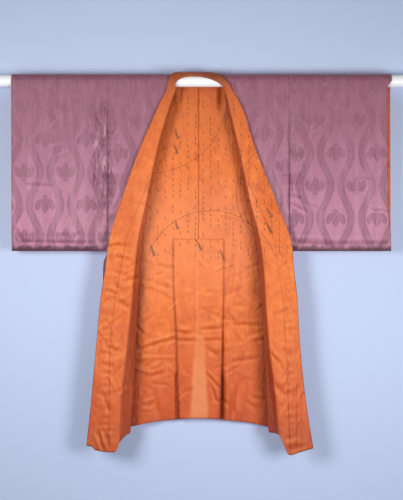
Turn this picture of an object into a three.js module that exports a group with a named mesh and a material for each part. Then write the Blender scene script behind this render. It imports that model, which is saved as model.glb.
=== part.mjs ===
// A dofuku coat hung on a round display rod, seen from its open front.
// Units are millimetres. +X is to the viewer's right, +Y away from the viewer, +Z up.
// The origin is on the rod's axis, at its middle.
import * as THREE from 'three';

// The rod that runs through both sleeves
const ROD_RADIUS = 19;
const ROD_LENGTH = 1380;
const ROD_CHAMFER = 1.5;
const ROD_SIDES = 32;

// The two cloths and the gap that parts pieces at a seam
const OUTER_WALL = 1.2;
const LINING_WALL = 1.0;
const SEAM_GAP = 0.3;
const HALF_GAP = SEAM_GAP / 2;

// Where the coat lies along the rod
const BODY_CENTRE = -9.5;
const BODY_HALF_WIDTH = 287;
const SLEEVE_REACH = 600;

// Heights, measured from the rod's axis
const ARMHOLE_FOOT = -310;
const SLEEVE_FOOT = -538;
const VENT_TOP = -500;
const VENT_FOOT = -1070;
const NECK_FOOT = -24;

// The surface halfway between the outer cloth and the lining, where both pass over the rod in
// flats, the middles of which clear it by the seam gap
const ARC_ROWS = 4;
const FLAT_MIDDLE = Math.cos(Math.PI / 4 / ARC_ROWS);
const REST_RADIUS = (ROD_RADIUS + SEAM_GAP) / FLAT_MIDDLE + LINING_WALL + HALF_GAP;
const QUARTER_TURN = REST_RADIUS * Math.PI / 2;
const TIGHTEST_HALF_DEPTH = LINING_WALL + SEAM_GAP;

// Each front down from the neck. z is a height, edge and fold are how far the free edge and the
// turned-out fold lie from x = 0, roll is the fold's radius, lift how far the free edge stands off
const LEFT_FRONT = [
  { z: -24, edge: 109, fold: 80, roll: 3.1, lift: 6.2 },
  { z: -90, edge: 141, fold: 99, roll: 5, lift: 7.5 },
  { z: -215, edge: 195, fold: 134, roll: 8, lift: 9 },
  { z: -375, edge: 253, fold: 165, roll: 11, lift: 11 },
  { z: -500, edge: 291, fold: 187, roll: 14, lift: 13 },
  { z: -590, edge: 303, fold: 194, roll: 16, lift: 15 },
  { z: -690, edge: 318, fold: 199, roll: 18, lift: 17 },
  { z: -820, edge: 330, fold: 205, roll: 19, lift: 19 },
  { z: -1000, edge: 346, fold: 214, roll: 21, lift: 21 },
  { z: -1160, edge: 363, fold: 226, roll: 22, lift: 22 },
];
const RIGHT_FRONT = [
  { z: -24, edge: 94, fold: 72, roll: 3.1, lift: 6.2 },
  { z: -90, edge: 132, fold: 84, roll: 5, lift: 7.5 },
  { z: -215, edge: 171, fold: 111, roll: 8, lift: 9 },
  { z: -375, edge: 234, fold: 143, roll: 11, lift: 11 },
  { z: -500, edge: 282, fold: 172, roll: 14, lift: 13 },
  { z: -590, edge: 291, fold: 183, roll: 16, lift: 15 },
  { z: -690, edge: 302, fold: 188, roll: 18, lift: 17 },
  { z: -820, edge: 309, fold: 196, roll: 19, lift: 19 },
  { z: -1000, edge: 327, fold: 203, roll: 21, lift: 21 },
  { z: -1180, edge: 355, fold: 213, roll: 22, lift: 22 },
];

// The collar band's width down each front: it flares towards the hem
const COLLAR_WIDTH = [
  { z: -24, left: 43, right: 36 },
  { z: -90, left: 56, right: 61 },
  { z: -150, left: 62, right: 64 },
  { z: -260, left: 66, right: 66 },
  { z: -400, left: 62, right: 62 },
  { z: -600, left: 51, right: 51 },
  { z: -850, left: 46, right: 46 },
  { z: -1000, left: 58, right: 58 },
  { z: -1180, left: 76, right: 76 },
];

// Hem heights of each front, by the distance across the cloth from the free edge
const LEFT_HEM = [
  { across: 0, z: -1152 },
  { across: 70, z: -1164 },
  { across: 105, z: -1126 },
  { across: 150, z: -1108 },
  { across: 300, z: -1106 },
];
const RIGHT_HEM = [
  { across: 0, z: -1158 },
  { across: 76, z: -1177 },
  { across: 108, z: -1118 },
  { across: 150, z: -1100 },
  { across: 300, z: -1102 },
];

// Hem height of the back, by the distance from the centre line
const BACK_HEM = [
  { across: 0, z: -1070 },
  { across: 120, z: -1082 },
  { across: 230, z: -1104 },
  { across: 340, z: -1108 },
];

// The side of the body below the armhole, and half the depth of the hanging body and sleeve
const SIDE = [
  { z: 0, out: 287 },
  { z: -500, out: 287 },
  { z: -541, out: 287 },
  { z: -575, out: 300 },
  { z: -700, out: 302 },
  { z: -850, out: 308 },
  { z: -1110, out: 320 },
];
const BODY_HALF_DEPTH = [
  { z: 0, depth: REST_RADIUS },
  { z: -60, depth: 21 },
  { z: -323, depth: 15.5 },
  { z: -600, depth: 16 },
  { z: -1180, depth: 19 },
];
const SLEEVE_HALF_DEPTH = [
  { z: 0, depth: REST_RADIUS },
  { z: -60, depth: 21 },
  { z: -323, depth: 15.5 },
  { z: -538, depth: 11 },
];

// Soft vertical folds. at and width are along x, depth is how far the cloth comes towards the viewer.
// They begin this far below the rod's axis and are full where the other two distances say
const BACK_FOLDS = [
  { at: -196, width: 58, depth: 6 },
  { at: -118, width: 46, depth: -5 },
  { at: 96, width: 50, depth: 5 },
  { at: 172, width: 52, depth: -6 },
];
const FOLDS_FROM = 60;
const BACK_FOLDS_FULL = 700;
const SLEEVE_FOLDS_FULL = 400;
const SLEEVE_FOLDS = [
  { at: 352, width: 48, depth: -3 },
  { at: 448, width: 60, depth: 3 },
  { at: 545, width: 44, depth: -3 },
];

// The neck: the turned-out fold and the collar seam are arches over the rod's front
const NECK_FOLD_RISE = 36;
const NECK_SEAM_RISE = 74;
const NECK_SEAM_MARGIN = 10;
const NECK_LEAN = 22;
const NECK_STRIP_NARROWING = 2;
const NECK_LOFT = 1.5;
const NECK_LOFT_REACH = 8;
const NECK_LOFT_START = 0.4;

// How far a side seam, an armhole foot and a sleeve's bottom seam draw the cloth together
const SIDE_PINCH = 80;
const FOOT_PINCH = 70;
const ARMHOLE_EASE = 25;
const ARMHOLE_PARTING = 5;
const FOOT_CLEARANCE = 4;
const CUFF_SETBACK = 12;
const CUFF_EASE_TOP = 20;
const CUFF_EASE_FOOT = 200;

// The vent: how far its panel reaches to each side of the centre line, and how it hangs
const VENT_PANEL = [
  { z: -500, left: 80, right: 80 },
  { z: -650, left: 78, right: 79 },
  { z: -800, left: 69, right: 75 },
  { z: -1070, left: 61, right: 67 },
];
const VENT_SPREAD = 22;
const VENT_INSET = 3.4;
const VENT_HANG = 5;
const VENT_HANG_REACH = 400;

// How finely the walls are divided
const FRONT_COLUMNS = 11;
const LEG_ROWS = 14;
const SLEEVE_FOOT_ROW = 7;
const NECK_ROWS = 7;
const NAPE_ROWS = 6;
const COLLAR_COLUMNS = 9;
const BACK_COLUMNS = 7;
const BACK_ROWS = 16;
const SLEEVE_ROWS = 6;
const SLEEVE_COLUMNS = 6;
const VENT_COLUMNS = 5;
const VENT_ROWS = 8;

// How rows crowd towards the neck, and where across a front its hem's height is read
const ROW_POWER = 1.15;
const HEM_MIDDLE = 100;
const HEM_SIDE = 300;
const TURN_WEIGHT = 5;

const LEFT = { name: 'left', out: -1, front: LEFT_FRONT, hem: LEFT_HEM, cuffSetback: 0 };
const RIGHT = { name: 'right', out: 1, front: RIGHT_FRONT, hem: RIGHT_HEM, cuffSetback: CUFF_SETBACK };

const OUTER = { name: 'outer', inner: HALF_GAP, outer: HALF_GAP + OUTER_WALL, color: 0x9a6878, roughness: 0.55 };
const LINING = { name: 'lining', inner: -HALF_GAP - LINING_WALL, outer: -HALF_GAP, color: 0xe8783f, roughness: 0.6 };

const lerp = THREE.MathUtils.lerp;
const smoothstep = THREE.MathUtils.smoothstep;
const clamp = THREE.MathUtils.clamp;

// Reads one column of a table at a place between its rows, along a smooth curve through them
function read(table, key, at, column) {
  const rising = table[table.length - 1][key] > table[0][key] ? 1 : -1;
  const last = table.length - 1;
  let row = 0;
  while (row < last - 1 && (at - table[row + 1][key]) * rising > 0) {
    row += 1;
  }
  const slope = (i) => {
    const a = table[Math.max(i - 1, 0)];
    const b = table[Math.min(i + 1, last)];
    return (b[column] - a[column]) / (b[key] - a[key]);
  };
  const from = table[row];
  const to = table[row + 1];
  const span = to[key] - from[key];
  const f = clamp((at - from[key]) / span, 0, 1);
  const g = 1 - f;
  return from[column] * g * g * (1 + 2 * f) + to[column] * f * f * (1 + 2 * g)
    + span * f * g * (slope(row) * g - slope(row + 1) * f);
}

// Rises from 0 at an edge to 1 at a given distance inside it
function easeFrom(distance, reach) {
  return Math.sin(Math.PI / 2 * clamp(distance / reach, 0, 1));
}

function foldDepth(folds, at) {
  const bell = (fold) => Math.exp(-(((at - fold.at) / fold.width) ** 2) * 2);
  return folds.reduce((sum, fold) => sum + fold.depth * bell(fold), 0);
}

// How far the side of the body lies from x = 0, on the given side
function sideX(side, z) {
  return BODY_CENTRE + side.out * (read(SIDE, 'z', z, 'out') - HALF_GAP);
}

function pinched(depth, amount) {
  return TIGHTEST_HALF_DEPTH + (depth - TIGHTEST_HALF_DEPTH) * amount;
}

// Rises from 0 above the armhole's foot to 1 below it, where the edges are sewn together
function closedAt(z) {
  return smoothstep(ARMHOLE_FOOT - z, -ARMHOLE_EASE, ARMHOLE_EASE);
}

// Half the body's depth: full over the rod, drawn together at the side seam below the armhole
function bodyHalfDepth(x, z, folds) {
  const side = x < BODY_CENTRE ? LEFT : RIGHT;
  const inside = (sideX(side, z) - x) * side.out;
  const closed = closedAt(z);
  const amount = lerp(1, easeFrom(inside, SIDE_PINCH), closed);
  const hang = smoothstep(-z, FOLDS_FROM, BACK_FOLDS_FULL);
  return pinched(read(BODY_HALF_DEPTH, 'z', z, 'depth') - foldDepth(folds, x) * hang, amount);
}

// Half a sleeve's depth: drawn together at its bottom seam and at its inner edge below the armhole
function sleeveHalfDepth(x, z) {
  const inside = Math.abs(x - BODY_CENTRE) - BODY_HALF_WIDTH - ARMHOLE_PARTING;
  const closed = closedAt(z);
  const atEdge = lerp(1, easeFrom(inside, SIDE_PINCH), closed);
  const atFoot = easeFrom(z - SLEEVE_FOOT, FOOT_PINCH);
  const hang = smoothstep(-z, FOLDS_FROM, SLEEVE_FOLDS_FULL);
  const depth = read(SLEEVE_HALF_DEPTH, 'z', z, 'depth') - foldDepth(SLEEVE_FOLDS, Math.abs(x)) * hang;
  return pinched(depth, atEdge * atFoot);
}

// Puts a point of the cloth in space. drop is the way down from the shoulder crease, positive on
// the front and negative on the back, and stand is how far it lies off the cloth that hangs there
function hang(x, drop, stand, halfDepth) {
  const facing = drop < 0 ? 1 : -1;
  const down = Math.abs(drop);
  if (down < QUARTER_TURN) {
    const angle = down / REST_RADIUS;
    const radius = REST_RADIUS + stand;
    return new THREE.Vector3(x, facing * radius * Math.sin(angle), radius * Math.cos(angle));
  }
  const z = QUARTER_TURN - down;
  return new THREE.Vector3(x, facing * (halfDepth(x, z) + stand), z);
}

function dropAt(z) {
  return QUARTER_TURN - z;
}

// One section across a turned-out front: a strip from the free edge, a rolled fold, then the front
// that lies behind the strip. reach is the strip's width as seen, lift its free edge's stand
function section(reach, roll, lift) {
  return { reach, roll, lift, strip: Math.hypot(reach - roll, 2 * roll - lift), turn: Math.PI * roll };
}

// Where the cloth is, measured outwards from the fold and off the front, at a distance across it
function acrossSection(cut, across) {
  const { reach, roll, lift, strip, turn } = cut;
  if (across < strip) {
    const f = across / strip;
    return { out: lerp(reach, roll, f), stand: lerp(lift, 2 * roll, 1 - (1 - f) ** 2) };
  }
  if (across < strip + turn) {
    const angle = (across - strip) / roll;
    return { out: roll * (1 - Math.sin(angle)), stand: roll * (1 + Math.cos(angle)) };
  }
  return { out: roll + across - strip - turn, stand: 0 };
}

// Steps across a section that lie closer together where the cloth turns
function spread(cut, from, to, count) {
  const { roll, strip, turn } = cut;
  const extra = TURN_WEIGHT * Math.PI;
  const measure = (across) => across + extra * clamp((across - strip) / turn, 0, 1);
  const back = (value) => {
    if (value < strip) {
      return value;
    }
    return value < strip + turn + extra ? strip + (value - strip) / (1 + TURN_WEIGHT / roll) : value - extra;
  };
  const start = measure(from);
  const end = measure(to);
  return Array.from({ length: count + 1 }, (_, i) => back(lerp(start, end, i / count)));
}

function frontSection(side, z) {
  const edge = read(side.front, 'z', z, 'edge');
  const fold = read(side.front, 'z', z, 'fold');
  return section(edge - fold, read(side.front, 'z', z, 'roll'), read(side.front, 'z', z, 'lift'));
}

// A point of a front below the neck, by its height and its distance across the cloth
function frontPoint(side, z, across) {
  const cut = frontSection(side, z);
  const foldX = side.out * read(side.front, 'z', z, 'fold');
  const { out, stand } = acrossSection(cut, across);
  const x = foldX + side.out * out;
  const rootX = foldX + side.out * Math.max(cut.roll, across < cut.strip + cut.turn ? 0 : out);
  const halfDepth = () => bodyHalfDepth(rootX, z, []);
  return hang(x, dropAt(z), stand, halfDepth);
}

const NECK_DROP = dropAt(NECK_FOOT);
const NECK_HALF = (LEFT_FRONT[0].fold + RIGHT_FRONT[0].fold) / 2;
const NECK_CENTRE = (RIGHT_FRONT[0].fold - LEFT_FRONT[0].fold) / 2;
const SHOULDER_ANGLE = Math.asin((NECK_DROP - HALF_GAP) / NECK_SEAM_RISE);

// The arches at the neck, by an angle that goes from the left front over to the right one
function neckFold(angle) {
  const x = NECK_CENTRE - NECK_HALF * Math.cos(angle) - NECK_LEAN * Math.sin(angle);
  return new THREE.Vector2(x, NECK_DROP - NECK_FOLD_RISE * Math.sin(angle));
}

function neckSeam(angle, margin) {
  const x = NECK_CENTRE - (NECK_HALF + margin) * Math.cos(angle) - NECK_LEAN * Math.sin(angle);
  return new THREE.Vector2(x, Math.max(HALF_GAP + SEAM_GAP, NECK_DROP - NECK_SEAM_RISE * Math.sin(angle)));
}

// A section of the collar where it turns round the neck, and how far across it the seam lies
function neckSection(angle) {
  const fold = neckFold(angle);
  const way = neckSeam(angle, NECK_SEAM_MARGIN).sub(fold);
  const right = (1 - Math.cos(angle)) / 2;
  const reachLeft = LEFT_FRONT[0].edge - LEFT_FRONT[0].fold;
  const reachRight = RIGHT_FRONT[0].edge - RIGHT_FRONT[0].fold;
  const reach = lerp(reachLeft, reachRight, right) - NECK_STRIP_NARROWING * Math.sin(angle);
  const cut = section(reach, LEFT_FRONT[0].roll, LEFT_FRONT[0].lift);
  const width = cut.strip + cut.turn + way.length() - cut.roll;
  const loft = NECK_LOFT * easeFrom(Math.sin(angle), NECK_LOFT_START);
  return { cut, fold, way: way.clone().normalize(), width, loft };
}

function neckPoint(neck, across) {
  const { out, stand } = acrossSection(neck.cut, across);
  const at = neck.fold.clone().addScaledVector(neck.way, out);
  const loft = neck.loft * smoothstep(neck.width - across, 0, NECK_LOFT_REACH);
  return hang(at.x, at.y, stand + loft, (x, z) => bodyHalfDepth(x, z, []));
}

// A closed wall between two offsets from a grid of points. Its outer side is the one that faces
// the viewer on a front, and squareEdges names the columns whose ends stay in a plane across x
function wall(point, columns, rows, inner, outer, flip, squareEdges) {
  const at = (i, j) => point(clamp(i, 0, columns), clamp(j, 0, rows));
  const positions = [];
  const index = [];
  const across = new THREE.Vector3();
  const down = new THREE.Vector3();
  const normals = [];
  const step = 0.02;
  for (let j = 0; j <= rows; j += 1) {
    for (let i = 0; i <= columns; i += 1) {
      across.subVectors(at(i + step, j), at(i - step, j));
      down.subVectors(at(i, j + step), at(i, j - step));
      const normal = across.clone().cross(down).normalize().multiplyScalar(flip);
      if (squareEdges.includes(i)) {
        normal.setX(0).normalize();
      }
      normals.push(normal);
    }
  }
  for (const offset of [outer, inner]) {
    for (let j = 0; j <= rows; j += 1) {
      for (let i = 0; i <= columns; i += 1) {
        const normal = normals[j * (columns + 1) + i];
        positions.push(...at(i, j).addScaledVector(normal, offset).toArray());
      }
    }
  }
  const layer = (columns + 1) * (rows + 1);
  const id = (i, j, low) => low * layer + j * (columns + 1) + i;
  const quad = (a, b, c, d) => {
    index.push(...(flip > 0 ? [a, b, c, a, c, d] : [a, c, b, a, d, c]));
  };
  for (let j = 0; j < rows; j += 1) {
    for (let i = 0; i < columns; i += 1) {
      quad(id(i, j, 0), id(i + 1, j, 0), id(i + 1, j + 1, 0), id(i, j + 1, 0));
      quad(id(i, j, 1), id(i, j + 1, 1), id(i + 1, j + 1, 1), id(i + 1, j, 1));
    }
    if (flip > 0) {
      quad(id(0, j, 0), id(0, j + 1, 0), id(0, j + 1, 1), id(0, j, 1));
    } else {
      quad(id(0, j + 1, 0), id(0, j + 1, 1), id(0, j, 1), id(0, j, 0));
    }
    quad(id(columns, j + 1, 0), id(columns, j, 0), id(columns, j, 1), id(columns, j + 1, 1));
  }
  for (let i = 0; i < columns; i += 1) {
    quad(id(i + 1, 0, 0), id(i, 0, 0), id(i, 0, 1), id(i + 1, 0, 1));
    quad(id(i, rows, 0), id(i + 1, rows, 0), id(i + 1, rows, 1), id(i, rows, 1));
  }
  const geometry = new THREE.BufferGeometry();
  geometry.setAttribute('position', new THREE.Float32BufferAttribute(positions, 3));
  geometry.setIndex(index);
  geometry.computeVertexNormals();
  return geometry;
}

// Reads a list of numbers at a place between two of them
function between(list, i) {
  const low = Math.min(Math.floor(i), list.length - 2);
  return lerp(list[low], list[low + 1], i - low);
}

// Rows of a front below the neck as fractions of the way down, closer together at the neck, with
// one at the sleeve's foot, below which the side of the body swells
function legFraction(row) {
  const length = NECK_FOOT - read(LEFT_HEM, 'across', HEM_SIDE, 'z');
  const foot = (NECK_FOOT - SLEEVE_FOOT + FOOT_CLEARANCE) / length;
  if (row < SLEEVE_FOOT_ROW) {
    return foot * (row / SLEEVE_FOOT_ROW) ** ROW_POWER;
  }
  return lerp(foot, 1, (row - SLEEVE_FOOT_ROW) / (LEG_ROWS - SLEEVE_FOOT_ROW));
}

// A point in a front's row. stepsAt gives the distances across the cloth that a height's row has
function rowPoint(side, down, i, stepsAt) {
  const middle = lerp(NECK_FOOT, read(side.hem, 'across', HEM_MIDDLE, 'z'), down);
  const across = between(stepsAt(middle), i);
  const z = lerp(NECK_FOOT, read(side.hem, 'across', across, 'z'), down);
  return frontPoint(side, z, between(stepsAt(z), i));
}

// Rows round the neck as angles: those of the left shoulder, the nape and the right shoulder
const ARCH_ROWS = NECK_ROWS * 2 + NAPE_ROWS;
function archAngle(row) {
  const left = Math.min(row, ARCH_ROWS - row);
  const angle = left < NECK_ROWS
    ? SHOULDER_ANGLE * left / NECK_ROWS
    : lerp(SHOULDER_ANGLE, Math.PI / 2, (left - NECK_ROWS) / (NAPE_ROWS / 2));
  return row === left ? angle : Math.PI - angle;
}

// A front: rows that fan out from the neck seam, then level rows across the fold
function frontPiece(side, cloth) {
  const rows = NECK_ROWS + LEG_ROWS;
  const point = (i, j) => {
    if (j < NECK_ROWS) {
      const f = j / NECK_ROWS;
      const angle = lerp(SHOULDER_ANGLE, 0, f);
      const seam = neckSeam(side.out < 0 ? angle : Math.PI - angle, NECK_SEAM_MARGIN + SEAM_GAP);
      const sideDrop = lerp(HALF_GAP, NECK_DROP, f);
      const x = lerp(seam.x, sideX(side, 0), i / FRONT_COLUMNS);
      const drop = lerp(Math.max(HALF_GAP, seam.y - SEAM_GAP * (1 - f)), sideDrop, i / FRONT_COLUMNS);
      return hang(x, drop, 0, (px, pz) => bodyHalfDepth(px, pz, []));
    }
    return rowPoint(side, legFraction(j - NECK_ROWS), i, (z) => {
      const cut = frontSection(side, z);
      const behind = Math.abs(sideX(side, z)) - read(side.front, 'z', z, 'fold') - cut.roll;
      const seam = read(COLLAR_WIDTH, 'z', z, side.name) + SEAM_GAP;
      return spread(cut, seam, cut.strip + cut.turn + behind, FRONT_COLUMNS);
    });
  };
  return wall(point, FRONT_COLUMNS, rows, cloth.inner, cloth.outer, -side.out, [FRONT_COLUMNS]);
}

// The collar band: up the left front, round the neck and down the right front
function collarPiece(cloth) {
  const rows = LEG_ROWS * 2 + ARCH_ROWS;
  const point = (i, j) => {
    if (j >= LEG_ROWS && j <= LEG_ROWS + ARCH_ROWS) {
      const neck = neckSection(archAngle(j - LEG_ROWS));
      return neckPoint(neck, between(spread(neck.cut, 0, neck.width, COLLAR_COLUMNS), i));
    }
    const side = j < LEG_ROWS ? LEFT : RIGHT;
    const down = legFraction(j < LEG_ROWS ? LEG_ROWS - j : j - LEG_ROWS - ARCH_ROWS);
    return rowPoint(side, down, i, (z) => {
      return spread(frontSection(side, z), 0, read(COLLAR_WIDTH, 'z', z, side.name), COLLAR_COLUMNS);
    });
  };
  return wall(point, COLLAR_COLUMNS, rows, cloth.inner, cloth.outer, -1, []);
}

// One half of the back, from the shoulder crease over the rod and down to the hem
function backPiece(side, cloth) {
  const point = (i, j) => {
    const f = i / BACK_COLUMNS;
    if (j < ARC_ROWS) {
      const edge = sideX(side, 0);
      const x = lerp(BODY_CENTRE + side.out * HALF_GAP, edge, f);
      return hang(x, -lerp(HALF_GAP, QUARTER_TURN, j / ARC_ROWS), 0, bodyHalfDepth);
    }
    const foot = read(BACK_HEM, 'across', Math.abs(f * BODY_HALF_WIDTH), 'z');
    const z = lerp(0, foot, (j - ARC_ROWS) / BACK_ROWS);
    const parting = HALF_GAP + VENT_SPREAD * smoothstep(VENT_TOP - z, 0, VENT_TOP - VENT_FOOT);
    const x = lerp(BODY_CENTRE + side.out * parting, sideX(side, z), f);
    return hang(x, -dropAt(z), 0, (px, pz) => bodyHalfDepth(px, pz, BACK_FOLDS));
  };
  return wall(point, BACK_COLUMNS, ARC_ROWS + BACK_ROWS, cloth.inner, cloth.outer, side.out, [0, BACK_COLUMNS]);
}

// The panel behind the open centre seam, inside the back and sewn to it along its top
function ventPiece(cloth) {
  const point = (i, j) => {
    const z = lerp(VENT_TOP, VENT_FOOT, j / VENT_ROWS);
    const left = read(VENT_PANEL, 'z', z, 'left');
    const right = read(VENT_PANEL, 'z', z, 'right');
    const x = BODY_CENTRE + lerp(-left, right, i / VENT_COLUMNS);
    const inset = VENT_INSET + VENT_HANG * smoothstep(VENT_TOP - z, 0, VENT_HANG_REACH);
    return hang(x, -dropAt(z), -inset, (px, pz) => bodyHalfDepth(px, pz, BACK_FOLDS));
  };
  return wall(point, VENT_COLUMNS, VENT_ROWS, cloth.inner, cloth.outer, 1, [0, VENT_COLUMNS]);
}

// A sleeve: one length from its bottom seam on the back, over the rod, to its bottom seam in front
function sleevePiece(side, cloth) {
  const half = ARC_ROWS + SLEEVE_ROWS;
  const footDrop = dropAt(SLEEVE_FOOT);
  const point = (i, j) => {
    const row = Math.abs(j - half);
    const down = row < ARC_ROWS
      ? QUARTER_TURN * row / ARC_ROWS
      : lerp(QUARTER_TURN, footDrop, (row - ARC_ROWS) / SLEEVE_ROWS);
    const z = Math.min(0, QUARTER_TURN - down);
    const parting = HALF_GAP + ARMHOLE_PARTING * closedAt(z);
    const inner = BODY_CENTRE + side.out * (BODY_HALF_WIDTH + parting);
    const belowRod = smoothstep(-z, -1, CUFF_EASE_TOP);
    const aboveFoot = smoothstep(z - SLEEVE_FOOT, 0, CUFF_EASE_FOOT);
    const setback = j < half ? 0 : side.cuffSetback * belowRod * aboveFoot;
    const x = lerp(inner, side.out * (SLEEVE_REACH - setback), i / SLEEVE_COLUMNS);
    return hang(x, j < half ? -down : down, 0, sleeveHalfDepth);
  };
  return wall(point, SLEEVE_COLUMNS, half * 2, cloth.inner, cloth.outer, -side.out, [0, SLEEVE_COLUMNS]);
}

// The rod, turned round its axis with small chamfers at both ends
function rodGeometry() {
  const half = ROD_LENGTH / 2;
  const profile = [
    new THREE.Vector2(0, -half),
    new THREE.Vector2(ROD_RADIUS - ROD_CHAMFER, -half),
    new THREE.Vector2(ROD_RADIUS, -half + ROD_CHAMFER),
    new THREE.Vector2(ROD_RADIUS, half - ROD_CHAMFER),
    new THREE.Vector2(ROD_RADIUS - ROD_CHAMFER, half),
    new THREE.Vector2(0, half),
  ];
  return new THREE.LatheGeometry(profile, ROD_SIDES).rotateZ(-Math.PI / 2);
}

function piece(name, geometry, color, roughness) {
  const material = new THREE.MeshStandardMaterial({ color, roughness, metalness: 0 });
  const mesh = new THREE.Mesh(geometry, material);
  mesh.name = name;
  return mesh;
}

const coat = new THREE.Group();
coat.add(piece('rod', rodGeometry(), 0xf6f6f4, 0.4));
for (const cloth of [OUTER, LINING]) {
  for (const side of [LEFT, RIGHT]) {
    coat.add(piece(`back_${side.name}_${cloth.name}`, backPiece(side, cloth), cloth.color, cloth.roughness));
    coat.add(piece(`front_${side.name}_${cloth.name}`, frontPiece(side, cloth), cloth.color, cloth.roughness));
    coat.add(piece(`sleeve_${side.name}_${cloth.name}`, sleevePiece(side, cloth), cloth.color, cloth.roughness));
  }
  coat.add(piece(`collar_${cloth.name}`, collarPiece(cloth), cloth.color, cloth.roughness));
  coat.add(piece(`vent_panel_${cloth.name}`, ventPiece(cloth), cloth.color, cloth.roughness));
}

export default coat;
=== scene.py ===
# A dofuku coat of figured silk, lined with orange silk, hung open on a round display rod.
# Units are metres. +X is to the viewer's right, +Y away from the viewer, +Z up.
# The origin is on the rod's axis, at its middle.
import math

import bpy
import numpy as np
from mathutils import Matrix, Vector


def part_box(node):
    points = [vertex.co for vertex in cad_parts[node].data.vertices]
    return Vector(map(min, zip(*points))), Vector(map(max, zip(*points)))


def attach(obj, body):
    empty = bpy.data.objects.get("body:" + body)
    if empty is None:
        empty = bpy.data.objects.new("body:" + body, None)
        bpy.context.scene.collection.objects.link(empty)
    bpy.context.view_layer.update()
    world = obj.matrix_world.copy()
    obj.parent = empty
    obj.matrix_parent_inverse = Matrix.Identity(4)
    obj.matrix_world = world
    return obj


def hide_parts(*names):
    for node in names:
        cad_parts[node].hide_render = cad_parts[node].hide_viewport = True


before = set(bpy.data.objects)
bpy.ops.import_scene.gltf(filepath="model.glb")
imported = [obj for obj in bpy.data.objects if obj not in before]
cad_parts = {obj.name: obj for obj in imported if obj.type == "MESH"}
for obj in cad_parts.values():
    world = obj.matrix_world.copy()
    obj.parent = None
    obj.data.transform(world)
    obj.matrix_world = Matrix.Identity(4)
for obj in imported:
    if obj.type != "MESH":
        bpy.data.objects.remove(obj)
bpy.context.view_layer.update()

bl_info = {
    "name": "Dofuku coat on a display rod",
    "version": (1, 0, 0),
    "blender": (4, 5, 0),
    "location": "View3D > Sidebar > Coat",
    "description": "Builds the silk surfaces and finishes of a hung dofuku coat",
    "category": "Object",
}

MM = 0.001


def table(names, *rows):
    """A table in millimetres as one array in metres for each named column."""
    return dict(zip(names.split(), MM * np.array(rows, float).T))


# The rod and where the coat lies along it
ROD_LOW, ROD_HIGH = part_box("rod")
ROD_RADIUS = (ROD_HIGH.z - ROD_LOW.z) / 2
SLEEVE_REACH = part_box("sleeve_left_outer")[0].x
BODY_CENTRE = -9.5 * MM
BODY_HALF_WIDTH = 287 * MM

# The two cloths, the gap between them, the finer one that parts pieces at a seam, and how far a
# front reaches into the collar at their seam, so that no light shows through it
OUTER_WALL = 1.2 * MM
LINING_WALL = 1.0 * MM
CLOTH_GAP = 0.3 * MM
SEAM_GAP = 0.08 * MM
SEAM_TUCK = 0.6 * MM
HALF_GAP = SEAM_GAP / 2

# Heights, measured from the rod's axis
ARMHOLE_FOOT = -310 * MM
SLEEVE_FOOT = -538 * MM
VENT_TOP = -500 * MM
VENT_FOOT = -1070 * MM
NECK_FOOT = -24 * MM

# The surface halfway between the outer cloth and the lining, where both pass over the rod
REST_RADIUS = ROD_RADIUS + 1.83 * MM
QUARTER_TURN = REST_RADIUS * math.pi / 2
TIGHTEST_HALF_DEPTH = LINING_WALL + CLOTH_GAP

# Each front down from the neck. z is a height, edge and fold are how far the free edge and the
# turned-out fold lie from x = 0, roll is the fold's radius, lift how far the free edge stands off
LEFT_FRONT = table(
    "z edge fold roll lift",
    (-24, 109, 80, 3.1, 6.2),
    (-90, 141, 99, 5, 7.5),
    (-215, 195, 134, 8, 9),
    (-375, 253, 165, 11, 11),
    (-500, 291, 187, 14, 13),
    (-590, 303, 194, 16, 15),
    (-690, 318, 199, 18, 17),
    (-820, 330, 205, 19, 19),
    (-1000, 346, 214, 21, 21),
    (-1160, 363, 226, 22, 22),
)
RIGHT_FRONT = table(
    "z edge fold roll lift",
    (-24, 94, 72, 3.1, 6.2),
    (-90, 132, 84, 5, 7.5),
    (-215, 171, 111, 8, 9),
    (-375, 234, 143, 11, 11),
    (-500, 282, 172, 14, 13),
    (-590, 291, 183, 16, 15),
    (-690, 302, 188, 18, 17),
    (-820, 309, 196, 19, 19),
    (-1000, 327, 203, 21, 21),
    (-1180, 355, 213, 22, 22),
)

# The collar band's width down each front
COLLAR_WIDTH = table(
    "z left right",
    (-24, 43, 36),
    (-90, 56, 61),
    (-150, 62, 64),
    (-260, 66, 66),
    (-400, 62, 62),
    (-600, 51, 51),
    (-850, 46, 46),
    (-1000, 58, 58),
    (-1180, 76, 76),
)

# Hem heights, by the distance across a front from its free edge and from the back's centre line
LEFT_HEM = table(
    "across z",
    (0, -1150), (20, -1153), (30, -1163), (92, -1168),
    (101, -1158), (109, -1137), (150, -1112), (300, -1106),
)
RIGHT_HEM = table(
    "across z",
    (0, -1158), (40, -1168), (74, -1177), (83, -1168),
    (101, -1120), (112, -1113), (150, -1110), (300, -1102),
)
BACK_HEM = table("across z", (0, -1070), (120, -1082), (230, -1104), (340, -1108))

# The side of the body, and half the depth of the hanging body and sleeve
SIDE = table(
    "z out",
    (0, 287), (-500, 287), (-541, 287), (-575, 300), (-700, 302), (-850, 308), (-1110, 320),
)
BODY_HALF_DEPTH = table("z depth", (0, 20.83), (-60, 21), (-323, 15.5), (-600, 16), (-1180, 19))
SLEEVE_HALF_DEPTH = table("z depth", (0, 20.83), (-60, 21), (-323, 15.5), (-538, 11))

# Soft vertical folds. at and width are along x, depth is how far the cloth comes forward
BACK_FOLDS = table("at width depth", (-196, 58, 6), (-118, 46, -5), (96, 50, 5), (172, 52, -6))
SLEEVE_FOLDS = table("at width depth", (352, 48, -3), (448, 60, 3), (545, 44, -3))
NO_FOLDS = table("at width depth", (0, 1, 0))

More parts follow.
